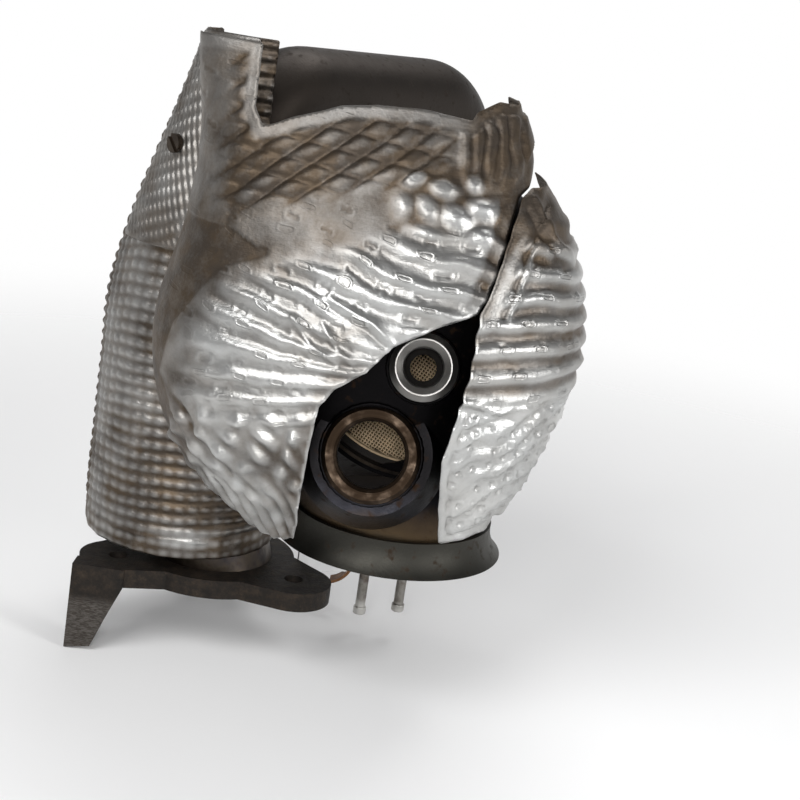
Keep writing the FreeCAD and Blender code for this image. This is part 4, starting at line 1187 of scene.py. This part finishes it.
class SteelSettings(bpy.types.PropertyGroup):
    """Colours of the hot steel"""
    black: bpy.props.FloatVectorProperty(
        name="Blackened steel",
        description="Colour of the chamber away from its hot bands",
        subtype="COLOR", default=(0.007, 0.0065, 0.007), min=0, max=1)
    port: bpy.props.FloatVectorProperty(
        name="Port steel",
        description="Colour of the large ring where it is clean",
        subtype="COLOR", default=(0.085, 0.062, 0.045), min=0, max=1)
    port_stain: bpy.props.FloatVectorProperty(
        name="Port stain",
        description="Colour of the large ring's oxide",
        subtype="COLOR", default=(0.026, 0.017, 0.011), min=0, max=1)
    boss: bpy.props.FloatVectorProperty(
        name="Boss steel", description="Colour of the threaded boss",
        subtype="COLOR", default=(0.24, 0.235, 0.225), min=0, max=1)


class BrickSettings(bpy.types.PropertyGroup):
    """The honeycomb"""
    pitch: bpy.props.FloatProperty(
        name="Cell pitch", description="Distance from cell to cell",
        default=1.4 * MM, min=0.0005, max=0.005, unit="LENGTH", precision=5)
    wall: bpy.props.FloatProperty(
        name="Cell wall", description="Thickness between two cells",
        default=0.34 * MM, min=0.00005, max=0.002, unit="LENGTH", precision=5)
    depth: bpy.props.FloatProperty(
        name="Cell depth", description="How deep the open cells are made",
        default=5.0 * MM, min=0.001, max=0.02, unit="LENGTH", precision=5)
    turn: bpy.props.FloatProperty(
        name="Cell turn",
        description="Turn of the cells about the brick's axis, in degrees",
        default=-26.0)
    colour: bpy.props.FloatVectorProperty(
        name="Ceramic", description="Colour of the coated ceramic",
        subtype="COLOR", default=(0.66, 0.50, 0.32), min=0, max=1)


class StageSettings(bpy.types.PropertyGroup):
    """The floor and the lights"""
    floor: bpy.props.FloatVectorProperty(
        name="Floor", description="Colour of the floor",
        subtype="COLOR", default=(0.90, 0.90, 0.90), min=0, max=1)
    key_power: bpy.props.FloatProperty(
        name="Key light", description="Power of the large soft light",
        default=13.0, min=0, unit="POWER")
    fill_power: bpy.props.FloatProperty(
        name="Fill light",
        description="Power of the soft light at the side",
        default=6.0, min=0, unit="POWER")
    front_power: bpy.props.FloatProperty(
        name="Front light",
        description="Power of the small light that shines into the ports",
        default=5.0, min=0, unit="POWER")
    top_power: bpy.props.FloatProperty(
        name="Top light",
        description="Power of the soft light above and behind",
        default=7.0, min=0, unit="POWER")


# ---------------------------------------------------------------- operators
FRONT_TURNS = (168, 366)         # turns about the axis that each sheet spans, in degrees
SIDE_TURNS = (295, 364)
COLUMN_TURNS = (148, 354)
COLUMN_REAR_TURNS = (-9, 151)
NECK_TURNS = (203, 264)
FRONT_RADIUS = 92.0              # usual distance of the sheets from their axis, in mm
COLUMN_RADIUS = 46.0
PILLOW_WIDTH = 6.0
TARGET = Vector((-0.0035, -0.020, 0.0708))
CAMERA_DISTANCE = 0.65
CAMERA_ELEVATION = 15.0
CAMERA_ROLL = 8.6
CAMERA_LENS = 67.3
ROOM_FRONT = (0.40, 0.40, 0.405)
ROOM_BEHIND = (1.0, 1.0, 1.0)
ROOM_OVERHEAD = (0.10, 0.10, 0.105)


def front_axis():
    """Upright axis of the front and side sheets: at the rear of the front shield's box, right of its middle."""
    low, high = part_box("front_shield")
    x = (low[0] + high[0]) / 2 / MM + 8
    y = high[1] / MM - 4
    return lambda z: (x, y)


def column_axis():
    """Axis of the sheets round the column: upright beside the can, leaning towards the middle above it."""
    can = middle("column_can") / MM
    lean_from = 60.0
    lean = 21.0
    top = CAD_BOX[1][2] / MM

    def centre(z):
        share = min(max((z - lean_from) / (top - lean_from), 0.0), 1.0)
        return can.x + lean * share * share, can.y

    return centre


class BuildFrontShield(bpy.types.Operator):
    """Make the front shield's embossed sheet"""
    bl_idname = "converter.front_shield"
    bl_label = "Front shield"

    def execute(self, context):
        settings = context.scene.converter_shields
        sheet = pressed_sheet("front_shield", front_axis(), FRONT_TURNS, settings.fine_pitch, front_shape,
                              settings.wall, RIB_PITCH, FRONT_RADIUS)
        dress(sheet, shield_material(settings))
        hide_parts("front_shield")
        return {"FINISHED"}


class BuildSideShield(bpy.types.Operator):
    """Make the side shield's embossed sheet"""
    bl_idname = "converter.side_shield"
    bl_label = "Side shield"

    def execute(self, context):
        settings = context.scene.converter_shields
        sheet = pressed_sheet("side_shield", front_axis(), SIDE_TURNS, settings.fine_pitch, side_shape,
                              settings.wall, RIB_PITCH, FRONT_RADIUS)
        dress(sheet, shield_material(settings))
        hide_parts("side_shield")
        return {"FINISHED"}


class BuildColumnShields(bpy.types.Operator):
    """Make the embossed sheets round the column and its neck"""
    bl_idname = "converter.column_shields"
    bl_label = "Column shields"

    def execute(self, context):
        settings = context.scene.converter_shields
        for node, shape, turns, pitch in (
                ("column_shield", column_shape, COLUMN_TURNS, settings.fine_pitch),
                ("column_rear_shield", rear_shape, COLUMN_REAR_TURNS, settings.coarse_pitch),
                ("neck_shield", neck_shape, NECK_TURNS, settings.fine_pitch * 0.7)):
            sheet = pressed_sheet(node, column_axis(), turns, pitch, shape,
                                  settings.wall, PILLOW_WIDTH, COLUMN_RADIUS)
            dress(sheet, shield_material(settings))
            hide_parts(node)
        return {"FINISHED"}


def shield_material(settings):
    """The one finish of all embossed sheets, made by the first of them."""
    made = bpy.data.materials.get("embossed_aluminium")
    return made or shield_finish(tuple(settings.bright), tuple(settings.stain_and_shade))


class BuildBrick(bpy.types.Operator):
    """Cut the open cells of the main brick's face"""
    bl_idname = "converter.brick"
    bl_label = "Honeycomb"

    def execute(self, context):
        settings = context.scene.converter_brick
        low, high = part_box("main_brick")
        finish = ceramic_finish(tuple(settings.colour), low[1], settings.depth)
        finish_node("column_brick", finish)
        for node in ("main_mat", "column_mat"):
            finish_node(node, mat_finish())
        radius = (high[0] - low[0]) / 2
        brick = honeycomb("main_brick_cells", middle("main_brick"), radius, low[1], high[1], settings, finish)
        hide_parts("main_brick")
        return {"FINISHED"}


class FinishSteel(bpy.types.Operator):
    """Finish the cans, the chamber and the ports, and run the weld beads"""
    bl_idname = "converter.steel"
    bl_label = "Steel and welds"

    def execute(self, context):
        settings = context.scene.converter_steel
        mounts, direction = port_axis()
        rim_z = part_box("outlet_flare")[0][2] / MM
        black = blackened_finish("blackened_chamber_steel", tuple(settings.black), rim_z + 8)
        flare = blackened_finish("dull_flare_steel", (0.055, 0.053, 0.046), rim_z - 60, 0.5)
        duct = blackened_finish("sooty_duct_steel", (0.040, 0.033, 0.028), rim_z - 60, 0.5)
        finish_node("outlet_flare", flare)
        finish_node("transfer_duct", duct)
        for node in ("chamber_shell", "chamber_back", "flow_baffle"):
            finish_node(node, black)
        can = can_finish()
        for node in ("main_can", "rear_cone", "column_can", "column_top_cone", "column_bottom_cone",
                     "neck_clip", "front_standoffs", "side_standoffs", "rear_standoffs", "column_standoffs"):
            finish_node(node, can)

        ring_centre = Vector(mounts["large_port_bore"]["pos_m"])
        boss_centre = Vector(mounts["sensor_thread"]["pos_m"])
        ring = turned_finish("oxidised_port_steel", tuple(settings.port), tuple(settings.port_stain),
                             ring_centre, direction, 1.0, 0.36, -4.0 * MM, 14.4 * MM)
        boss = turned_finish("turned_boss_steel", tuple(settings.boss), (0.26, 0.24, 0.22),
                             boss_centre, direction, 0.35, 0.40, -1.5 * MM, 8.9 * MM)
        finish_node("large_port", ring)
        finish_node("sensor_boss", boss)
        dims = mounts["sensor_thread"]["dims"]
        thread_start = boss_centre + direction * (dims["length_mm"] / 2 - 1.0) * MM
        thread("sensor_boss_thread", thread_start, direction, (dims["r_mm"] + 0.02) * MM, 1.5 * MM, 4.6,
               0.75 * MM, boss)
        port_weld("sensor_boss", boss_centre, direction, 0.95 * MM, black, 71)
        port_weld("large_port", ring_centre, direction, 1.0 * MM, black, 72)

        back = Vector((0, 1, 0))
        up = Vector((0, 0, 1))
        main = middle("main_can")
        column = middle("column_can")
        low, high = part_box("main_can")
        radius = (high[0] - low[0]) / 2
        cone_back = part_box("rear_cone")[1][1]
        duct_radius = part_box("transfer_duct")[1][0] - main.x + 0.8 * MM
        round_weld("rear_cone_weld", Vector((main.x, high[1], main.z)), back, radius, can, 73)
        round_weld("rear_duct_weld", Vector((main.x, cone_back, main.z)), back, duct_radius, can, 74)
        low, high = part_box("column_can")
        radius = (high[0] - low[0]) / 2
        round_weld("column_top_weld", Vector((column.x, column.y, high[2])), up, radius, can, 75)
        round_weld("column_bottom_weld", Vector((column.x, column.y, low[2])), up, radius, can, 76)
        return {"FINISHED"}


class FinishSmallParts(bpy.types.Operator):
    """Finish the cast flange, the pipes, the strap and the plain sheet"""
    bl_idname = "converter.small_parts"
    bl_label = "Flange, pipes and strap"

    def execute(self, context):
        finish_node("inlet_flange", cast_finish())
        pipe = pipe_finish()
        for node in ("pressure_pipe_front", "pressure_pipe_rear"):
            finish_node(node, pipe)
        rusty = rusty_finish()
        for node in ("pipe_clip", "support_strap"):
            finish_node(node, rusty)
        finish_node("lower_shield", plain_sheet_finish("plain_aluminium", (0.74, 0.74, 0.74)))
        finish_node("rear_shield", plain_sheet_finish("browned_aluminium", (0.42, 0.39, 0.35)))
        return {"FINISHED"}


class BuildStage(bpy.types.Operator):
    """Set the floor, the soft lights and the camera"""
    bl_idname = "converter.stage"
    bl_label = "Stage"

    def execute(self, context):
        settings = context.scene.converter_stage
        scene = context.scene
        scene.view_settings.view_transform = "Standard"
        add_floor(CAD_BOX[0][2] - 0.4 * MM, tuple(settings.floor))
        for name, place, size, power in (("key", (-0.60, -0.95, 1.05), (0.85, 0.65), settings.key_power),
                                         ("fill", (0.95, -0.60, 0.35), (0.30, 0.70), settings.fill_power),
                                         ("front", (-0.05, -1.05, 0.40), (0.30, 0.22), settings.front_power),
                                         ("top", (0.15, 0.55, 1.15), (0.9, 0.5), settings.top_power)):
            light = bpy.data.lights.new(name, "AREA")
            light.shape = "RECTANGLE"
            light.size, light.size_y = size
            light.energy = power
            lamp = bpy.data.objects.new(name, light)
            lamp.location = place
            lamp.rotation_euler = (TARGET - Vector(place)).to_track_quat("-Z", "Y").to_euler()
            scene.collection.objects.link(lamp)
        add_world(scene)
        add_camera(scene)
        return {"FINISHED"}


def add_floor(level, colour):
    """Pale floor that fades out into the backdrop."""
    rim = 1.5
    count = 96
    turns = [2 * math.pi * step / count for step in range(count)]
    mesh = bpy.data.meshes.new("floor")
    mesh.from_pydata([(rim * math.cos(turn), rim * math.sin(turn), level) for turn in turns], [],
                     [tuple(range(count))])
    floor = bpy.data.objects.new("floor", mesh)
    bpy.context.scene.collection.objects.link(floor)
    f = Finish("pale_floor", Specular_IOR_Level=0.1)
    f.set(Base_Color=f.mix(f.noise(400, 2), scaled(colour, 0.985), colour))
    f.set(Roughness=(0.85 + 0.1 * f.noise(60, 2)).clamped())
    f.set(Alpha=1 - f.vector("LENGTH", f.place(), None, "Value").eased(0.24, 0.95))
    floor.data.materials.append(f.material)


def add_world(scene):
    """Surroundings: a white backdrop below and behind, and a dimmer room in front and overhead."""
    scene.world = bpy.data.worlds.new("surroundings")
    sky = Nodes(scene.world)
    _, y, z = sky.split(sky.add("ShaderNodeTexCoord", {}, {}, "Generated"))
    sides = sky.mix(y.eased(-0.25, 0.55), ROOM_FRONT, ROOM_BEHIND)
    room = sky.mix(z.eased(0.12, 0.55), sides, ROOM_OVERHEAD)
    background = sky.add("ShaderNodeBackground", {}, {"Color": room}, "Background")
    sky.add("ShaderNodeOutputWorld", {}, {"Surface": background}, None)


def add_camera(scene):
    """Camera before the part and a little above it, rolled about its view."""
    data = bpy.data.cameras.new("camera")
    data.lens = CAMERA_LENS
    data.sensor_width = 36.0
    data.clip_end = 50.0
    camera = bpy.data.objects.new("camera", data)
    scene.collection.objects.link(camera)
    up = math.radians(CAMERA_ELEVATION)
    camera.location = TARGET + Vector((0, -math.cos(up), math.sin(up))) * CAMERA_DISTANCE
    look = (TARGET - camera.location).to_track_quat("-Z", "Y").to_matrix().to_4x4()
    camera.rotation_euler = (look @ Matrix.Rotation(math.radians(CAMERA_ROLL), 4, "Z")).to_euler()
    scene.camera = camera


class ConverterPanel(bpy.types.Panel):
    """Lists the steps that dress the converter"""
    bl_label = "Converter"
    bl_idname = "VIEW3D_PT_converter"
    bl_space_type = "VIEW_3D"
    bl_region_type = "UI"
    bl_category = "Converter"

    def draw(self, context):
        for operator in OPERATORS:
            self.layout.operator(operator.bl_idname)
        for group in SETTINGS:
            values = getattr(context.scene, group)
            for name in values.bl_rna.properties.keys():
                if name not in ("rna_type", "name"):
                    self.layout.prop(values, name)


SETTINGS = {"converter_shields": ShieldSettings, "converter_steel": SteelSettings,
            "converter_brick": BrickSettings, "converter_stage": StageSettings}
OPERATORS = (BuildStage, BuildFrontShield, BuildSideShield, BuildColumnShields, BuildBrick, FinishSteel,
             FinishSmallParts)


def register():
    for cls in (*SETTINGS.values(), *OPERATORS, ConverterPanel):
        bpy.utils.register_class(cls)
    for name, group in SETTINGS.items():
        setattr(bpy.types.Scene, name, bpy.props.PointerProperty(type=group))


def unregister():
    for name in SETTINGS:
        delattr(bpy.types.Scene, name)
    for cls in (ConverterPanel, *reversed(OPERATORS), *reversed(SETTINGS.values())):
        bpy.utils.unregister_class(cls)


def main():
    """Registers the add-on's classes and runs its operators."""
    register()
    for operator in OPERATORS:
        group, name = operator.bl_idname.split(".")
        getattr(getattr(bpy.ops, group), name)()
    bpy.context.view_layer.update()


if __name__ == "__main__":
    main()
